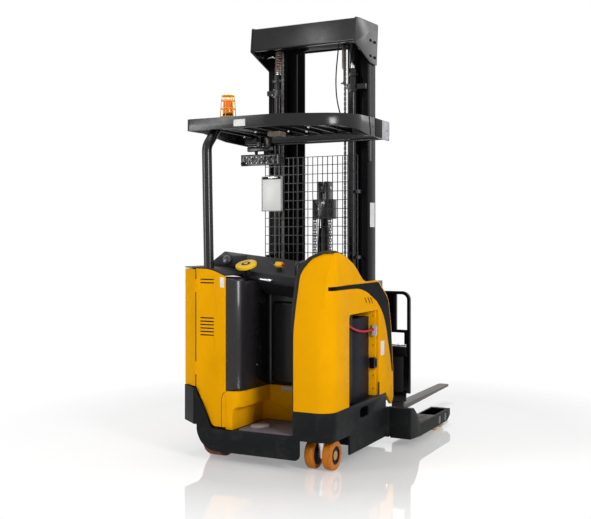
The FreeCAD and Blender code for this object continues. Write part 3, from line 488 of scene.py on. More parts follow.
class Finish:
    # the node tree of a new material, or of the world
    def __init__(self, name, world=None):
        self.material = world or bpy.data.materials.new(name)
        self.material.use_nodes = True
        self.tree = self.material.node_tree
        self.shader = self.tree.nodes["Background" if world else "Principled BSDF"]
        self.where = self.add("TexCoord", output="Object")

    def add(self, kind, settings={}, inputs={}, output=0):
        # settings are set before the inputs
        node = self.tree.nodes.new("ShaderNode" + kind)
        for name, value in settings.items():
            setattr(node, name, value)
        for name, value in inputs.items():
            connect(self.tree, value, node.inputs[name])
        return Signal(self.tree, node.outputs[output])

    def give(self, **values):
        # values for the shader's own sockets, with spaces left out of their names
        for name, value in values.items():
            socket = [socket for socket in self.shader.inputs if socket.name.replace(" ", "") == name][0]
            connect(self.tree, value, socket)
        return self

    def noise(self, scale, detail=3, rough=0.5, stretch=None):
        vector = self.where
        if stretch:
            vector = self.add("Mapping", inputs={"Vector": self.where, "Scale": stretch}, output="Vector")
        inputs = {"Vector": vector, "Scale": scale, "Detail": detail, "Roughness": rough}
        return self.add("TexNoise", inputs=inputs, output="Fac")

    def cells(self, **inputs):
        return self.add("TexVoronoi", {"feature": "F1"}, {"Vector": self.where, **inputs}, output="Distance")

    def span(self, value, fromLow, fromHigh, toLow, toHigh):
        ends = {"From Min": fromLow, "From Max": fromHigh, "To Min": toLow, "To Max": toHigh}
        return self.add("MapRange", {"clamp": True}, {"Value": value, **ends})

    def mix(self, amount, first, second):
        return self.add("Mix", {"data_type": "RGBA"}, {0: amount, 6: first, 7: second}, 2)

    def bump(self, height, strength, distance):
        return self.add("Bump", inputs={"Height": height, "Strength": strength, "Distance": distance})

    def axis(self, name):
        return self.add("SeparateXYZ", inputs={"Vector": self.where}, output=name)


def shade(colour, amount):
    return tuple(min(1, channel * amount) for channel in colour)


def paint(name, colour, roughness, peel=0.12, grain=900, dust=0.25, dustColour=(0.12, 0.11, 0.1), gloss=0.12):
    # sprayed paint: slight tone drift, fine peel, a little dust low down and in patches
    made = Finish(name)
    drift = made.noise(2.3, 4)
    patches = made.noise(9, 6, 0.62)
    tone = made.mix(made.span(drift, 0.3, 0.7, 0, 1), shade(colour, 0.93), shade(colour, 1.06))
    low = made.span(made.axis("Z"), 0.06, 0.75, 1, 0.12)
    film = made.span(patches, 0.5, 0.78, 0, dust) * low
    fine = made.noise(grain, 2)
    return made.give(BaseColor=made.mix(film, tone, dustColour),
                     Roughness=made.span(patches, 0.3, 0.75, roughness - 0.04, roughness + 0.09) + film * 0.3,
                     Normal=made.bump(fine, peel, 0.0006), SpecularIORLevel=gloss)


def steel(name, colour, roughness, lines=(1, 1, 60), grime=0.4):
    # bare or oiled metal with drawn lines and grime in patches
    grimeColour = (0.045, 0.035, 0.028)
    made = Finish(name)
    drawn = made.noise(30, 3, 0.6, lines)
    patches = made.noise(14, 6, 0.65)
    film = made.span(patches, 0.46, 0.72, 0, grime)
    polish = made.span(drawn, 0.3, 0.7, roughness - 0.05, roughness + 0.08)
    metal = made.mix(drawn, shade(colour, 0.82), shade(colour, 1.1))
    return made.give(BaseColor=made.mix(film, metal, grimeColour), Metallic=1 - film * 0.7,
                     Roughness=polish + film * 0.3, Normal=made.bump(drawn, 0.08, 0.0005))


def plastic(name, colour, roughness, grain=700, depth=0.25, smear=0.18, coat=0.0):
    # moulded plastic: fine grain with rubbed, smeared patches
    made = Finish(name)
    pits = made.cells(Scale=grain)
    rubbed = made.noise(5.5, 5, 0.6, (1, 1, 0.35))
    tone = made.mix(made.span(rubbed, 0.35, 0.7, 0, 1), shade(colour, 0.85), shade(colour, 1.25))
    polish = made.span(rubbed, 0.3, 0.72, roughness, roughness + smear)
    return made.give(BaseColor=tone, Roughness=polish, Normal=made.bump(pits, depth, 0.0004), CoatWeight=coat,
                     CoatRoughness=0.12, SpecularIORLevel=0.16)


def rubber(name, colour, roughness=0.62):
    made = Finish(name)
    fine = made.noise(420, 4)
    worn = made.noise(18, 5, 0.6)
    return made.give(BaseColor=made.mix(made.span(worn, 0.45, 0.75, 0, 0.5), colour, shade(colour, 1.7)),
                     Roughness=made.span(worn, 0.3, 0.7, roughness - 0.08, roughness + 0.12),
                     Normal=made.bump(fine, 0.3, 0.0006), SpecularIORLevel=0.14)


def tyre(name, colour, grime=(0.1, 0.05, 0.025)):
    # cast tyre: glossy side walls, a scuffed running face and fine mould lines
    made = Finish(name)
    scuffs = made.noise(70, 6, 0.7)
    broad = made.noise(7, 4)
    tone = made.mix(made.span(broad, 0.35, 0.7, 0, 0.45), colour, shade(colour, 0.72))
    return made.give(BaseColor=made.mix(made.span(scuffs, 0.52, 0.74, 0, 0.75), tone, grime),
                     Roughness=made.span(scuffs, 0.4, 0.7, 0.34, 0.62),
                     Normal=made.bump(scuffs, 0.35, 0.0009), SpecularIORLevel=0.2)


def ribbedMat(name, colour):
    # rubber floor mat with round studs
    studPitch = 0.012
    made = Finish(name)
    studs = made.span(made.cells(Scale=1 / studPitch, Randomness=0.0), 0.24, 0.34, 1, 0)
    worn = made.noise(11, 5, 0.6)
    tone = made.mix(made.span(worn, 0.4, 0.75, 0, 0.6), shade(colour, 0.8), shade(colour, 1.25))
    return made.give(BaseColor=tone, Roughness=made.span(worn, 0.3, 0.7, 0.5, 0.75),
                     Normal=made.bump(studs, 0.6, 0.0015))


def lens(name, colour):
    # amber glass of a lamp, with upright flutes
    made = Finish(name)
    return made.give(BaseColor=made.mix(made.noise(40, 2), colour, shade(colour, 0.8)), Roughness=0.12,
                     TransmissionWeight=0.2, IOR=1.49, CoatWeight=0.3, EmissionColor=colour,
                     EmissionStrength=0.2)


def paper(name, colour):
    made = Finish(name)
    fibres = made.noise(260, 4)
    return made.give(BaseColor=made.mix(made.span(fibres, 0.3, 0.7, 0, 1), shade(colour, 0.94), colour),
                     Roughness=0.32, Normal=made.bump(fibres, 0.05, 0.0003))


def forkSteel(name):
    # worn bare steel on the blades, black paint above them
    made = Finish(name)
    drawn = made.noise(30, 3, 0.6, (1, 50, 50))
    patches = made.noise(12, 6, 0.65)
    height = made.axis("Z")
    painted = made.span(height + patches * 0.03, 0.205, 0.222, 0, 1)
    metal = made.mix(drawn, (0.05, 0.042, 0.038), (0.085, 0.072, 0.065))
    bare = made.mix(made.span(patches, 0.45, 0.72, 0, 0.6), metal, (0.07, 0.045, 0.035))
    return made.give(BaseColor=made.mix(painted, bare, (0.01, 0.01, 0.012)), Metallic=0.75 - painted * 0.75,
                     Roughness=made.span(drawn, 0.3, 0.7, 0.36, 0.5), Normal=made.bump(drawn, 0.08, 0.0005))


surfaces = {}


def addSurface(name, slot, kind, *values, **settings):
    # slot is the record's; kind is one of the finishes above
    surfaces[name] = {"slot": slot, "material": kind(name, *values, **settings).material}


addSurface("yellowPaint", "yellow_paint", paint, (0.86, 0.39, 0.002), 0.27, dust=0.06,
           dustColour=(0.5, 0.3, 0.06), gloss=0.004)
addSurface("blackPaint", "black_paint", paint, (0.003, 0.003, 0.004), 0.19, dust=0.04, gloss=0.38)
addSurface("basePaint", "black_paint", paint, (0.011, 0.012, 0.013), 0.45, peel=0.4, grain=500, dust=0.2,
           gloss=0.05)
addSurface("mastPaint", "black_paint", paint, (0.005, 0.005, 0.006), 0.2, dust=0.05, gloss=0.04)
addSurface("wallPlastic", "black_plastic", plastic, (0.018, 0.016, 0.018), 0.2, coat=0.35)
addSurface("consolePlastic", "black_plastic", plastic, (0.018, 0.017, 0.02), 0.42, grain=450, depth=0.5)
addSurface("padRubber", "black_plastic", rubber, (0.014, 0.013, 0.015), 0.45)
addSurface("blackRubber", "black_plastic", rubber, (0.012, 0.012, 0.013))
addSurface("floorMat", "grey_mat", ribbedMat, (0.125, 0.102, 0.112))
addSurface("padGrey", "grey_mat", rubber, (0.34, 0.3, 0.32), 0.5)
addSurface("yellowPlastic", "yellow_plastic", plastic, (0.9, 0.5, 0.01), 0.28, depth=0.1, smear=0.1)
addSurface("brightSteel", "steel", steel, (0.62, 0.62, 0.63), 0.2, grime=0.12)
addSurface("chrome", "steel", steel, (0.75, 0.75, 0.76), 0.08, grime=0.05)
addSurface("darkSteel", "dark_steel", steel, (0.11, 0.1, 0.1), 0.34)
addSurface("forkSteel", "dark_steel", forkSteel)
addSurface("batteryPaint", "battery_steel", paint, (0.012, 0.012, 0.017), 0.4, gloss=0.04)
addSurface("greyPlastic", "grey_plastic", plastic, (0.42, 0.42, 0.41), 0.45)
addSurface("redCover", "red_cable", plastic, (0.5, 0.012, 0.04), 0.36, depth=0.08)
addSurface("orangeTyre", "orange_tyre", tyre, (0.52, 0.155, 0.003), (0.12, 0.04, 0.008))
addSurface("redTyre", "red_tyre", tyre, (0.2, 0.03, 0.008), (0.05, 0.02, 0.012))
addSurface("creamTyre", "cream_tyre", tyre, (0.68, 0.46, 0.2), (0.3, 0.17, 0.07))
addSurface("amberLens", "amber_lens", lens, (0.9, 0.2, 0.002))
addSurface("yellowWire", "yellow_wire", paint, (0.95, 0.52, 0.002), 0.32, dust=0.02, gloss=0.01)
addSurface("whiteSheet", "paper", paper, (0.8, 0.8, 0.78))
addSurface("tanHub", "cream_tyre", paint, (0.5, 0.28, 0.11), 0.45, dust=0.5)
addSurface("labelSheet", "paper", paper, (0.78, 0.78, 0.76))
addSurface("glossVinyl", "black_plastic", plastic, (0.012, 0.011, 0.013), 0.2, grain=320, depth=0.3,
           coat=0.15)
addSurface("dialGlass", "black_plastic", plastic, (0.03, 0.033, 0.036), 0.08, depth=0.02, smear=0.05,
           coat=0.8)
addSurface("stripePaint", "black_paint", paint, (0.003, 0.003, 0.005), 0.4, dust=0.04, gloss=0.02)
# light grey for the guard's end cap: a painted highlight, the bright light on that end of the black guard
addSurface("guardEndPaint", "grey_plastic", paint, (0.5, 0.5, 0.54), 0.3, dust=0.1)
addSurface("tanLens", "paper", plastic, (0.2, 0.16, 0.13), 0.3, depth=0.1)
addSurface("springSteel", "dark_steel", steel, (0.3, 0.21, 0.16), 0.36, (1, 1, 1))
addSurface("chainSteel", "dark_steel", steel, (0.12, 0.11, 0.1), 0.42, (1, 1, 1), 0.7)
addSurface("legSteel", "dark_steel", paint, (0.06, 0.05, 0.044), 0.4, dust=0.3, dustColour=(0.1, 0.09, 0.08),
           gloss=0.05)
print("finishes made:", len(surfaces))


# Plain pieces: CAD shapes kept, with their edges broken

skins = {
    "base_frame": ("basePaint", 3),
    "outrigger_left": ("basePaint", 2.5),
    "outrigger_right": ("basePaint", 2.5),
    "drive_unit": ("darkSteel", 2),
    "drive_motor": ("blackPaint", 2),
    "caster_bracket": ("brightSteel", 1.5),
    "kick_panel": ("yellowPaint", 3),
    "compartment_wall": ("wallPlastic", 1.5),
    "drive_cabinet": ("yellowPaint", 1),
    "cabinet_side_door": ("yellowPaint", 1),
    "cabinet_top_cover": ("consolePlastic", 2),
    "console": ("consolePlastic", 4),
    "display_pod": ("consolePlastic", 4),
    "control_handle": ("yellowPlastic", 1.5),
    "grab_handle": ("brightSteel", 0),
    "pod_panel": ("yellowPaint", 2.5),
    "pod_pad": ("padRubber", 2),
    "battery": ("batteryPaint", 4),
    "battery_bay_panel": ("batteryPaint", 2),
    "battery_retainer": ("blackPaint", 2),
    "battery_connector": ("greyPlastic", 2),
    "battery_cover": ("blackPaint", 3),
    "front_cover": ("yellowPaint", 2),
    "left_panel": ("yellowPaint", 2.5),
    "overhead_guard": ("blackPaint", 2),
    "guard_post": ("blackPaint", 0),
    "guard_brackets": ("blackPaint", 1.5),
    "accessory_bracket": ("blackPaint", 0.6),
    "document_holder": ("greyPlastic", 2),
    "mesh_screen": ("blackPaint", 0),
    "outer_mast": ("mastPaint", 2),
    "mast_crosshead": ("blackPaint", 2.5),
    "lift_cylinders": ("blackPaint", 1.5),
    "lift_rods": ("chrome", 1),
    "middle_mast": ("mastPaint", 2),
    "inner_mast": ("mastPaint", 2),
    "free_lift_cylinder": ("blackPaint", 1.5),
    "free_lift_head": ("blackPaint", 1.5),
    "lift_carriage": ("blackPaint", 2),
    "reach_arms_inner": ("blackPaint", 2),
    "reach_arms_outer": ("blackPaint", 2),
    "reach_carriage": ("blackPaint", 2),
    "fork_carriage": ("blackPaint", 2),
    "forks": ("forkSteel", 2),
    "load_backrest": ("blackPaint", 1.5),
    "platform_floor": ("floorMat", 1),
    "drive_wheel": ("redTyre", 0),
    "caster_wheels": ("orangeTyre", 0),
    "load_wheel_left_rear": ("creamTyre", 0),
    "load_wheel_left_front": ("creamTyre", 0),
    "load_wheel_right_rear": ("creamTyre", 0),
    "load_wheel_right_front": ("creamTyre", 0),
}
shortNames = {"cabinet_side_door": "cabinetDoor", "cabinet_top_cover": "cabinetTop"}
made = {}
for node, (surface, edge) in skins.items():
    name = shortNames.get(node, camelName(node))
    made[name] = finish(chamfer(nodeCopy(node, name), edge), on(node), surface, [node])
print("skins made:", len(made))


# Cords

batteryCable = {
    "route": [(312.6, -577, 970), (424, -579, 928), (552, -577, 897), (688, -579, 882), (808.6, -580, 886)],
    "length": 0.508, "radius": 8,
}
cable = addHose("batteryCable", batteryCable["route"], batteryCable["radius"])
finish(cable, on("battery_cable"), "redCover", ["battery_cable"])
place(*batteryCable["route"][0])
mastHose = {
    "route": [(930, -258, 3184), (930, -256, 3060), (935, -237, 2925), (945, -221, 2800), (955, -217, 2690),
              (958, -228, 2590), (950, -258, 2496), (945, -284, 2400.4)],
    "length": 0.795, "radius": 5,
}
hose = addHose("mastHose", mastHose["route"], mastHose["radius"])
finish(hose, on("mast_hose"), "blackRubber", ["mast_hose"])
place(*mastHose["route"][0])
print("cords made")


# Rear of the cabinet and the door beside it

cabinetLabel = {"x": (20.9, 22.2), "y": (216, 248), "z": (1212, 1283), "round": 0.3}
trim("cabinetLabel", cabinetLabel, "labelSheet")
doorSeal = {"x": [(21.2, 26)], "y": [(444.5, 451.4)], "z": [(508, 593), (687, 1173), (1267, 1334)],
            "round": 0.5}
finish(addBoxes("doorSeal", **doorSeal), "chassis", "blackRubber")
slotBacks = {"x": [(30.2, 34)], "y": [(296, 430)], "z": [(1230, 1276), (862, 1008)], "round": 0}
finish(addBoxes("cabinetSlotBacks", **slotBacks), "chassis", "blackRubber")
studHeights = (1268, 1168, 590, 540)
doorStuds = {"spots": [(22, 438, z) for z in studHeights], "axis": (-1, 0, 0), "radius": 4.5, "height": 3}
addBolts("doorStuds", "chassis", "yellowPaint", **doorStuds)
skirtBolts = {"spots": [(4, 286, 134), (4, -256, 126)], "axis": (-1, 0, 0), "radius": 8, "height": 3.6}
recesses = [((-4, y, z), (x, y, z)) for x, y, z in skirtBolts["spots"]]
carve(made["baseFrame"], addBars("boltRecesses", recesses, skirtBolts["radius"] + 2, 32, 0))
smooth(made["baseFrame"])
addBolts("skirtBolts", "chassis", "blackRubber", **skirtBolts)
print("cabinet trimmed")


# Operator's compartment

kneePad = {"x": (419, 473), "y": (-170, 66), "z": (496, 1100), "round": 25, "fill": 0.75}
pad = swollen(addBox("kneePad", kneePad["x"], kneePad["y"], kneePad["z"], 0), kneePad["round"])
finish(pad, "chassis", "glossVinyl", angle=80)
armPad = {"x": (300, 430), "y": (-262, -180), "z": (1252, 1398), "round": 34, "fill": 0.7}
pad = swollen(addBox("armPad", armPad["x"], armPad["y"], armPad["z"], 0), armPad["round"])
finish(pad, "chassis", "glossVinyl", angle=80)
kickPlate = {"x": (451.6, 453.4), "y": (-115, -5), "z": (449, 478), "round": 0.5}
trim("kickPlate", kickPlate, "greyPlastic")
wallBolt = {"spots": [(272, 92, 655)], "axis": (0, -1, 0), "radius": 6.5, "height": 4}
addBolts("wallBolt", "chassis", "brightSteel", **wallBolt)
wallSeal = [(29, 204, 493), (36, 158, 493), (61, 123, 493), (96, 99, 493), (138, 91, 493), (250, 91, 493),
            (425, 90, 493), (444, 80, 493), (448, 60, 493), (448, -300, 493)]
finish(meshOf(addHose("wallSeal", wallSeal, 4)), "chassis", "blackRubber")
kickSeam = [(22, 236, 242), (22, 237, 330), (22, 237, 425), (22, 231, 458), (22, 218, 478), (22, 206, 486)]
finish(meshOf(addHose("kickSeam", kickSeam, 2)), "chassis", "blackRubber")
switchPad = {"centre": (157, 4), "half": (77, 27, 68), "z": (246.4, 248.6)}
long, short, tip = switchPad["half"]
hexagon = [(-long, -short), (0, -tip), (long, -short), (long, short), (0, tip), (-long, short)]
hexagon = [(switchPad["centre"][0] + x, switchPad["centre"][1] + y) for x, y in hexagon]
finish(addOutline("switchPad", hexagon, "xy", *switchPad["z"], 0.8), "chassis", "padGrey")
print("compartment trimmed")


# Console and controls

dial = {"centre": (290, 352, 1404), "axis": (-0.88, -0.12, 0.46), "radius": 40}
finish(addBoss("dialBezel", dial, -12, 7, dial["radius"], 48, 4), "chassis", "consolePlastic")
finish(addBoss("dialGlass", dial, 4, 8.6, dial["radius"] - 7, 48, 1.5), "chassis", "dialGlass")
finish(joinAll("dialTicks", [addDialTick(dial, step) for step in range(9)]), "chassis", "labelSheet")
disc = {"centre": (235, 158, 1352), "axis": (-0.3746, 0, 0.9272), "radius": 78, "thickness": 26}
discBody, thickness = on("steering_disc"), disc["thickness"]
finish(addBoss("steeringDiscPlate", disc, 0, thickness, disc["radius"], 72, 9), discBody, "yellowPlastic",
       ["steering_disc"])
finish(addBoss("steeringDiscStalk", disc, -66, 2, 22, 32, 1), discBody, "blackRubber")
finish(addBoss("steeringDiscHollow", disc, thickness - 3, thickness + 0.8, 33, 48, 0.6), discBody,
       "consolePlastic")
finish(addBoss("steeringDiscHub", disc, thickness - 3, thickness + 3, 15, 32, 1.5), discBody, "yellowPlastic")
redButton = {"start": (335, -76, 1368), "end": (335, -97, 1367), "radius": 9, "sides": 24, "round": 2}
finish(addBar("redButton", **redButton), on("control_handle"), "redCover")
handleBoot = {"start": (343, -53, 1312), "end": (337, -53, 1351), "radius": 21, "endRadius": 13.4}
finish(addBar("handleBoot", **handleBoot), on("control_handle"), "blackRubber")
keySwitch = {"start": (430, 60, 1362), "end": (428, 60, 1378), "radius": 11, "sides": 24, "round": 1.5}
finish(addBar("keySwitch", **keySwitch), "chassis", "darkSteel")
for index, y in enumerate((-20, 20)):
    button = addBar(f"consoleButton{index}", (404, y, 1354), (401, y, 1366), 9, 24, 2)
    finish(button, "chassis", "greyPlastic")
print("controls made")


# Side of the pod: dark stripe, slanted vents and a bare plate

podSide = {
    "face": -609.5,
    "front": [(500, 400), (500, 1247), (845, 1247, 70), (1052, 1108, 170), (1112, 880, 400),
              (1150, 560, 300), (1155, 340, 40), (1112, 288, 20), (1000, 400)],
    "margin": 11,
    "lower": [(1118, 543), (1081, 671), (1039, 789), (993, 906), (927, 1004), (827, 1085), (739, 1126),
              (635, 1168), (565, 1186), (452, 1204), (236, 1207), (33, 1207)],
    "vents": [((588, 1131), (620, 1097)), ((644, 1132), (682, 1090)), ((696, 1125), (734, 1087))],
    "ventWidth": 13,
    "ventDepth": 6.5,
    "stripeDepth": 0.6,
}
edge = inset(rounded(podSide["front"], 10), podSide["margin"])
# the stripe runs beside the front edge only where that edge is high and far forward
edge = [point for point in edge if point[1] > 545 and point[0] > 820]
outline = [(33, 1232), (278, 1236), (565, 1236)] + edge + curved(podSide["lower"], 5)
stripe = addOutline("podStripe", outline, "xz", -700, -550, 0)
stripe = both(nodeCopy("pod_panel", "podStripe"), stripe)
modify(stripe, "DISPLACE", strength=podSide["stripeDepth"] / 1000, mid_level=0)
finish(stripe, "chassis", "stripePaint")
ventReach = (podSide["face"] - 5, podSide["face"] + 6)
vents = [addOutline("vent", stadium(start, end, podSide["ventWidth"] / 2), "xz", *ventReach, 0)
         for start, end in podSide["vents"]]
inwards = Matrix.Translation((0, podSide["ventDepth"] / 1000, 0))
backs = [copied(vent, "ventBack", inwards) for vent in vents]
carve(made["podPanel"], joinAll("ventCutter", vents))
smooth(made["podPanel"])
finish(joinAll("podVentBacks", backs), "chassis", "stripePaint")
podLabel = {"x": (891, 962), "y": (-610.3, -609), "z": (687, 794), "round": 0.3}
trim("podLabel", podLabel, "labelSheet")
print("pod trimmed")


# Battery bay

holeHeights = (985, 770, 545, 450)
bayHoles = {"spots": [(834.9, -571, z) for z in holeHeights], "axis": (-1, 0, 0), "radius": 5, "height": 0.8}
addBolts("bayHoles", "chassis", "blackRubber", **bayHoles)
bayLatch = {"x": (840, 862), "y": (-612.5, -609), "z": (402, 500), "round": 1}
trim("bayLatch", bayLatch, "blackRubber")
retainerHook = {"x": (820, 834), "y": (-606, -596), "z": (612, 672), "round": 2}
trim("retainerHook", retainerHook, "blackPaint")
connectorFace = {"x": (810, 834), "y": (-604.5, -599.5), "z": (844, 912), "round": 2}
trim("connectorFace", connectorFace, "greyPlastic")
cableBoots = {"Rear": ((311, -577, 970.5), (352, -577.4, 956)),
              "Front": ((808, -580, 886), (770, -579.8, 884.5))}
for name, ends in cableBoots.items():
    finish(addBar("cableBoot" + name, *ends, 12, 24, 1, 8.6), "chassis", "redCover")
batteryRibs = {"x": [(479, 795)], "y": [(-555.2, -553)], "z": [(938, 946), (700, 704), (430, 434)],
               "round": 0.8}
finish(addBoxes("batteryRibs", **batteryRibs), "chassis", "batteryPaint")
print("battery bay trimmed")


# Overhead guard, beacon and what hangs below

guardLabel = {"x": (96.8, 98.3), "y": (90, 183), "z": (2341, 2389), "round": 0.3}
trim("guardLabel", guardLabel, "labelSheet")
# the end cap is coloured light grey as a painted highlight where light falls bright on the guard's end
capCorners = [(916, 2294), (916, 2434), (1063, 2435, 14), (1063, 2294, 46)]
guardCap = addOutline("guardEndCap", rounded(capCorners), "xz", -612.4, -609.6, 0.8)
finish(guardCap, "chassis", "guardEndPaint")
finish(addBox("guardStrip", (776, 915), (-611.6, -609.6), (2297, 2434), 0.6), "chassis", "blackRubber")
slotLine = [(x, -610.4, z) for x, z in ((666, 2430), (676, 2400), (682, 2352), (694, 2300))]
finish(meshOf(addHose("guardSlot", slotLine, 3.4)), "chassis", "blackRubber")
endBolts = {"spots": [(742, -610, 2366), (1020, -612, 2366)], "axis": (0, -1, 0), "radius": 6, "height": 3.5}
addBolts("guardEndBolts", "chassis", "darkSteel", **endBolts)
clipSpots = ((749, 474), (569, -6), (414, -246), (640, -120), (500, 234))
guardClips = {"spots": [(x, y, 2352) for x, y in clipSpots], "axis": (0, 0, -1), "radius": 9, "height": 12}
addBolts("guardClips", "chassis", "brightSteel", **guardClips)
domeLamp = {"x": (560, 664), "y": (60, 168), "z": (2318, 2352), "round": 9, "segments": 4}
trim("domeLamp", domeLamp, "tanLens")
lampUnit = {"x": (884, 922), "y": (322, 528), "z": (2243, 2282), "round": 8, "segments": 3}
trim("lampUnit", lampUnit, "blackPaint")
finish(addBox("lampUnitStem", (890, 914), (404, 446), (2280, 2392), 3), "chassis", "blackPaint")
finish(addBar("lampUnitEnd", (903, 322, 2262), (903, 306, 2262), 17, 28, 3), "chassis", "darkSteel")
ballMounts = [((903, 452, 2222), (903, 452, 2246), 13), ((903, 560, 2150), (870, 566, 2150), 15)]
finish(addBars("ballMounts", ballMounts, 24, 5), "chassis", "blackRubber")
beaconShape = {"spot": (300, 350), "foot": 2392, "neck": 2398, "base": 2464, "top": 2560}
spotX, spotY = beaconShape["spot"]
foot, neck, base = beaconShape["foot"], beaconShape["neck"], beaconShape["base"]


def post(z, degrees=0, radius=0):
    # a spot at height z, turned round the beacon's upright axis
    turn = math.radians(degrees)
    return spotX + radius * math.cos(turn), spotY + radius * math.sin(turn), z


baseParts = [
    addBox("beaconPlate", (spotX - 70, spotX + 70), (spotY - 70, spotY + 70), (foot, neck), 1.5),
    addBar("beaconFoot", post(neck), post(base), 42, 48, 4, 38),
]
finish(joinAll("beaconBase", baseParts), "chassis", "blackRubber", ["beacon"])
finish(addBar("beaconLens", post(base - 2), post(beaconShape["top"]), 37, 48, 8, 33), "chassis", "amberLens")
ribs = [addRing("rib", post(z), (0, 0, 1), 36.6 - (z - base) * 0.038, 1.7) for z in range(2476, 2550, 10)]
finish(joinAll("beaconRibs", ribs), "chassis", "amberLens")
finish(addBar("beaconCore", post(base - 6), post(2512), 14, 24, 2), "chassis", "darkSteel")
cageShape = {
    "levels": ((2398.5, 60, 3.6), (2440, 57.5, 3.2), (2500, 54, 3.2), (2560, 49, 3.2), (2594, 44, 3.6)),
    "stays": (12, 72, 132, 192, 252, 312),
}
cage = [addRing("cageRing", post(z), (0, 0, 1), radius, wire) for z, radius, wire in cageShape["levels"]]
for degrees in cageShape["stays"]:
    route = [post(z, degrees, radius) for z, radius, wire in cageShape["levels"]]
    cage.append(meshOf(addHose("cageStay", route, 3.2, 8)))
for degrees in cageShape["stays"][:3]:
    cage.append(addBar("cageTop", post(2594, degrees + 180, 44), post(2594, degrees, 44), 3.2, 10, 0))
finish(joinAll("beaconCageWires", cage), on("beacon_cage"), "yellowWire", ["beacon_cage"])
print("guard and beacon trimmed")


# Document holder: sheet, clip and rim

holder = {
    "holderSheet": ("whiteSheet", (926.6, 928.2), (248, 409), (1778, 2022), 0.3),
    "holderClip": ("brightSteel", (921, 929), (275, 354), (2030, 2044), 2.5, 3),
    "holderHeader": ("blackRubber", (926.2, 928.4), (243, 414), (2022, 2043), 0.8),
}
holderBody = on("document_holder")
for name, (surface, *sizes) in holder.items():
    finish(addBox(name, *sizes), holderBody, surface)
rims = (((239, 247), (1770, 2045)), ((410, 418), (1770, 2045)), ((239, 418), (1770, 1778)))
finish(joinAll("holderRim", [addBox("rim", (925.4, 929), y, z, 1) for y, z in rims]), holderBody,
       "greyPlastic")
print("document holder trimmed")


# Mast: springs, anchors, chains, clamps and a bare plate

middle = on("middle_mast")
springs = {"left": {"spot": (1032, 322), "radius": 27, "wire": 3.4, "low": 2868, "high": 3046, "turns": 13},
           "right": {"spot": (1030, -252), "radius": 16, "wire": 3.2, "low": 2876, "high": 3046, "turns": 15}}
for name, spring in springs.items():
    finish(addSpring(name + "Spring", spring), middle, "springSteel")
anchor = springs["right"]["spot"]
finish(addBars("rightAnchor", [
    ((*anchor, 2748), (*anchor, 3048), 6.5, 20, 0.5),
    ((*anchor, 2860), (*anchor, 2876), 15, 6, 1.5),
    ((*anchor, 2742), (*anchor, 2764), 12, 24, 3),
    ((anchor[0], anchor[1] - 14, 2752), (anchor[0], anchor[1] + 26, 2752), 6, 20, 1),
]), middle, "darkSteel")
clamps = {"x": [(996, 1034)], "y": [(-362, -296), (296, 362)], "z": [(2676, 2702), (2796, 2822)], "round": 3}
finish(addBoxes("cylinderClamps", **clamps), "chassis", "blackPaint")
chainLine = {"x": 1008, "y": 270, "low": 1250, "high": 3046, "pitch": 19, "width": 7, "plate": 9}
chain = addChain("mastChainLeft", chainLine)
finish(chain, middle, "chainSteel")
finish(flipped(chain, "mastChainRight"), middle, "chainSteel")
hoop = [(1020, 418, 2996), (1012, 395, 3004), (1010, 372, 3006), (1012, 350, 3001), (1022, 332, 2992)]
finish(meshOf(addHose("silverHoop", hoop, 4.2)), middle, "chrome")
hoseFittings = [((1006, 345, 2716), (1006, 345, 2744), 8), ((1006, 362, 2690), (1006, 362, 2706), 6),
                ((1002, 300, 2712), (1002, 312, 2712), 6)]
finish(addBars("hoseFittings", hoseFittings, 16, 1.5), "chassis", "brightSteel")
mastPlate = {"x": (1117, 1210), "y": (-433.4, -431), "z": (1643, 1832), "round": 0.4}
trim("mastPlate", mastPlate, "labelSheet")
cheekBolts = {"spots": [(1110, 3080), (1200, 3080), (1110, 2960), (1200, 2960)], "radius": 11, "height": 7}
for side, name in ((-1, "cheekBoltsRight"), (1, "cheekBoltsLeft")):
    sizes = {**cheekBolts, "spots": [(x, side * 443.5, z) for x, z in cheekBolts["spots"]]}
    addBolts(name, "chassis", "blackPaint", axis=(0, side, 0), **sizes)
print("mast trimmed")


# Free-lift head: sheaves, chains and fittings

head = on("free_lift_head")
headChain = {"x": 1170, "y": 66, "low": 1310, "high": 1866, "pitch": 22, "width": 13, "plate": 11}
chain = addChain("headChainLeft", headChain)
finish(chain, head, "chainSteel")
finish(flipped(chain, "headChainRight"), head, "chainSteel")
finish(addBar("headSheave", (1213, -13, 1958), (1213, 13, 1958), 44, 48, 4), head, "darkSteel")
headPins = [((1213, -58, 1958), (1213, 58, 1958), 12, 24, 2), ((1180, -8, 1838), (1166, -8, 1838), 15, 24, 3),
            ((1180, 30, 1790), (1166, 30, 1790), 10, 24, 3)]
finish(addBars("headPins", headPins), head, "brightSteel")
headHoses = {
    "Left": [(1176, 20, 1728), (1166, 20, 1706), (1164, 24, 1640), (1166, 30, 1480), (1172, 34, 1304)],
    "Right": [(1172, -34, 1716), (1160, -38, 1640), (1164, -40, 1480), (1168, -36, 1380), (1172, -34, 1304)],
}
for name, route in headHoses.items():
    finish(meshOf(addHose("headLine" + name, route, 6)), head, "blackRubber")
print("free-lift head trimmed")


# Carriage and forks

carriageLines = [((1690, -520, z), (1690, 520, z)) for z in (664, 677)]
finish(addBars("carriageLines", carriageLines, 6, 16, 1), on("fork_carriage"), "brightSteel")
forkPins = {"spots": [(1715, 439, 668), (1715, -439, 668)], "axis": (0, 0, 1), "radius": 9, "height": 16}
addBolts("forkPins", on("forks"), "darkSteel", **forkPins)
print("carriage trimmed")


# Outriggers and wheels

legPlates = {"x": [(1218, 1612)], "y": [(648, 716), (722, 790)], "z": [(137.5, 139.6)], "round": 0.8}
plates = addBoxes("legPlatesLeft", **legPlates)
finish(flipped(plates, "legPlatesRight"), on("outrigger_right"), "legSteel")
finish(plates, on("outrigger_left"), "legSteel")
legDiscs = {"stations": (1702, 1850), "radius": 34, "z": 88}


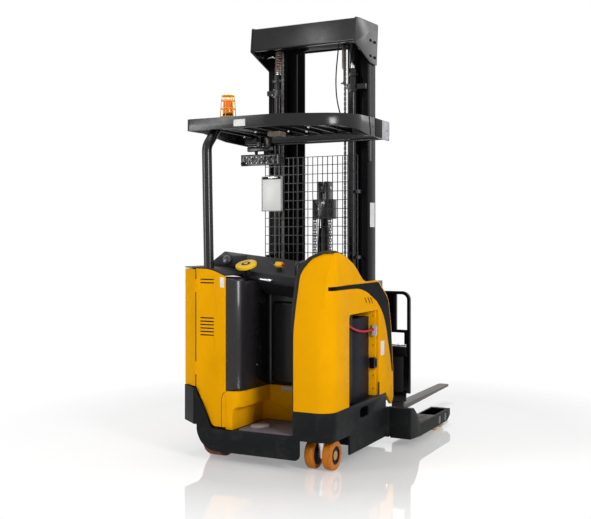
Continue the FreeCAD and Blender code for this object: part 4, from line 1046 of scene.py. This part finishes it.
def addLegDiscs(name, low, high, radius, round):
    # low and high are across the truck
    discs = [((x, low, legDiscs["z"]), (x, high, legDiscs["z"])) for x in legDiscs["stations"]]
    return addBars(name, discs, radius, 40, round)


for side, name in ((1, "Left"), (-1, "Right")):
    cutters = addLegDiscs("cutters", side * 797, side * 810, legDiscs["radius"] + 3, 0)
    smooth(carve(made["outrigger" + name], cutters))
    discs = addLegDiscs("legDiscs" + name, side * 795, side * 799.6, legDiscs["radius"], 1.5)
    finish(discs, on("outrigger_" + name.lower()), "blackPaint")
casterHub = {"x": 149, "y": -486, "z": 101.5, "spacing": 65, "half": 32}
hubBody = on("caster_wheels")


def spot(y):
    return casterHub["x"], y, casterHub["z"]


for side, name in ((-1, "Right"), (1, "Left")):
    middleY = casterHub["y"] + side * casterHub["spacing"]
    outer = middleY + side * casterHub["half"]
    inner = middleY - side * casterHub["half"]
    finish(joinAll("casterRim" + name, [
        addBar("rim", spot(outer - side * 13), spot(outer - side * 8.5), 61.4, 56, 2),
        addRing("rimEdge", spot(outer - side * 6), (0, 1, 0), 57.5, 4, 64),
        addBar("rimInner", spot(inner - side * 0.4), spot(inner + side * 3), 74, 56, 1.5),
        addRing("hubEdge", spot(outer - side * 7), (0, 1, 0), 35, 3.4, 48),
    ]), hubBody, "blackRubber")
    finish(joinAll("casterHub" + name, [
        addBar("hub", spot(outer - side * 9), spot(outer - side * 2.6), 31, 40, 3),
        addBar("axleNut", spot(outer - side * 4), spot(outer - side * 0.6), 15, 6, 1.2),
    ]), hubBody, "tanHub")
casterPost = {"x": (112, 132), "y": (-507, -465), "z": (120, 222), "round": 3}
trim("casterPost", casterPost, "brightSteel", on("caster_bracket"))
for name in ("left_rear", "left_front", "right_rear", "right_front"):
    low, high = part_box("load_wheel_" + name)
    middleX = (low.x + high.x) / 2 - rearFace
    hubs = [((middleX * 1000, y * 1000 - reach, 65), (middleX * 1000, y * 1000 + reach, 65))
            for y, reach in ((low.y, 1.6), (high.y, -1.6))]
    hubs = addBars(camelName("loadWheelHub_" + name), hubs, 24, 32, 0.6)
    finish(hubs, on("load_wheel_" + name), "darkSteel")
print("wheels trimmed")


# Studio

studio = {
    "floorSize": 60,
    "floorColour": (0.8, 0.8, 0.8),
    "cameraSpot": (-6.931, -3.117, 1.547),
    "cameraTurn": 26.87,
    "lens": 55.906,
    "sensorWidth": 36,
    "frameShift": -20 / 591,
    "worldLevel": 0.24,
    "floorGloss": 0.43,
    "floorRoughness": 0.02,
    "floorGlow": 0.28,
    "fade": (1.9, 3.0),
}


def makeStudio():
    clearSelection()
    bpy.ops.mesh.primitive_plane_add(size=studio["floorSize"], location=(0, 0, 0))
    ground = settle(bpy.context.object)
    ground.name = "studioFloor"
    made = Finish("studioFloor")
    made.give(BaseColor=studio["floorColour"], Roughness=0.6, SpecularIORLevel=0.0)
    matt = Signal(made.tree, made.shader.outputs[0])
    gloss = made.add("BsdfGlossy", inputs={"Roughness": studio["floorRoughness"]})
    polished = made.add("MixShader", inputs={0: studio["floorGloss"], 1: matt, 2: gloss})
    seen = made.add("LightPath", output="Is Camera Ray").larger(made.add("LightPath", output="Is Glossy Ray"))
    glow = made.add("Emission", inputs={"Strength": seen * studio["floorGlow"]})
    lit = made.add("AddShader", inputs={0: polished, 1: glow})
    # the floor fades to plain white away from the truck
    apart = (made.axis("X") * made.axis("X") + made.axis("Y") * made.axis("Y")) ** 0.5
    faded = made.add("MixShader", inputs={0: seen * made.span(apart, *studio["fade"], 0, 1), 1: lit,
                                          2: made.add("Emission")})
    connect(made.tree, faded, made.tree.nodes["Material Output"].inputs["Surface"])
    ground.data.materials.append(made.material)

    world = bpy.data.worlds.new("studioWorld")
    bpy.context.scene.world = world
    sky = Finish("studioWorld", world)
    direct = 1 - sky.add("LightPath", output="Is Diffuse Ray")
    sky.give(Color=(1, 1, 1), Strength=sky.span(direct, 0, 1, studio["worldLevel"], 1))


def addLamp(name, spot, target, size, power):
    clearSelection()
    bpy.ops.object.light_add(type="AREA", location=spot)
    lamp = bpy.context.object
    lamp.name = name
    lamp.data.shape = "RECTANGLE"
    lamp.data.size, lamp.data.size_y = size
    lamp.data.energy = power
    lamp.rotation_euler = (Vector(target) - Vector(spot)).to_track_quat("-Z", "Y").to_euler()


def makeCamera():
    bpy.ops.object.camera_add(location=studio["cameraSpot"],
                              rotation=(math.radians(90), 0, math.radians(studio["cameraTurn"] - 90)))
    camera = bpy.context.object
    camera.name = "studioCamera"
    camera.data.lens = studio["lens"]
    camera.data.sensor_width = studio["sensorWidth"]
    camera.data.sensor_fit = "HORIZONTAL"
    camera.data.shift_y = studio["frameShift"]
    camera.data.clip_end = 200
    bpy.context.scene.camera = camera


makeStudio()
addLamp("keySoftbox", (-3.3, -3.8, 2.4), (-1.2, -0.3, 0.9), (1.0, 1.6), 106)
addLamp("rearSoftbox", (-4.8, 3.4, 2.0), (-1.3, -0.3, 0.9), (1.0, 1.6), 48)
addLamp("frontSoftbox", (5.5, -3.1, 4.7), (-0.6, -0.4, 2.4), (0.9, 2.0), 16)
addLamp("leftSoftbox", (-6.6, 3.9, 4.4), (-1.0, 0.3, 2.2), (0.6, 4.2), 75)
addLamp("topSoftbox", (-0.6, 0.2, 6.0), (-0.6, 0, 0), (2.2, 2.2), 110)
makeCamera()
bpy.context.scene.view_settings.view_transform = "Standard"
print("studio made")
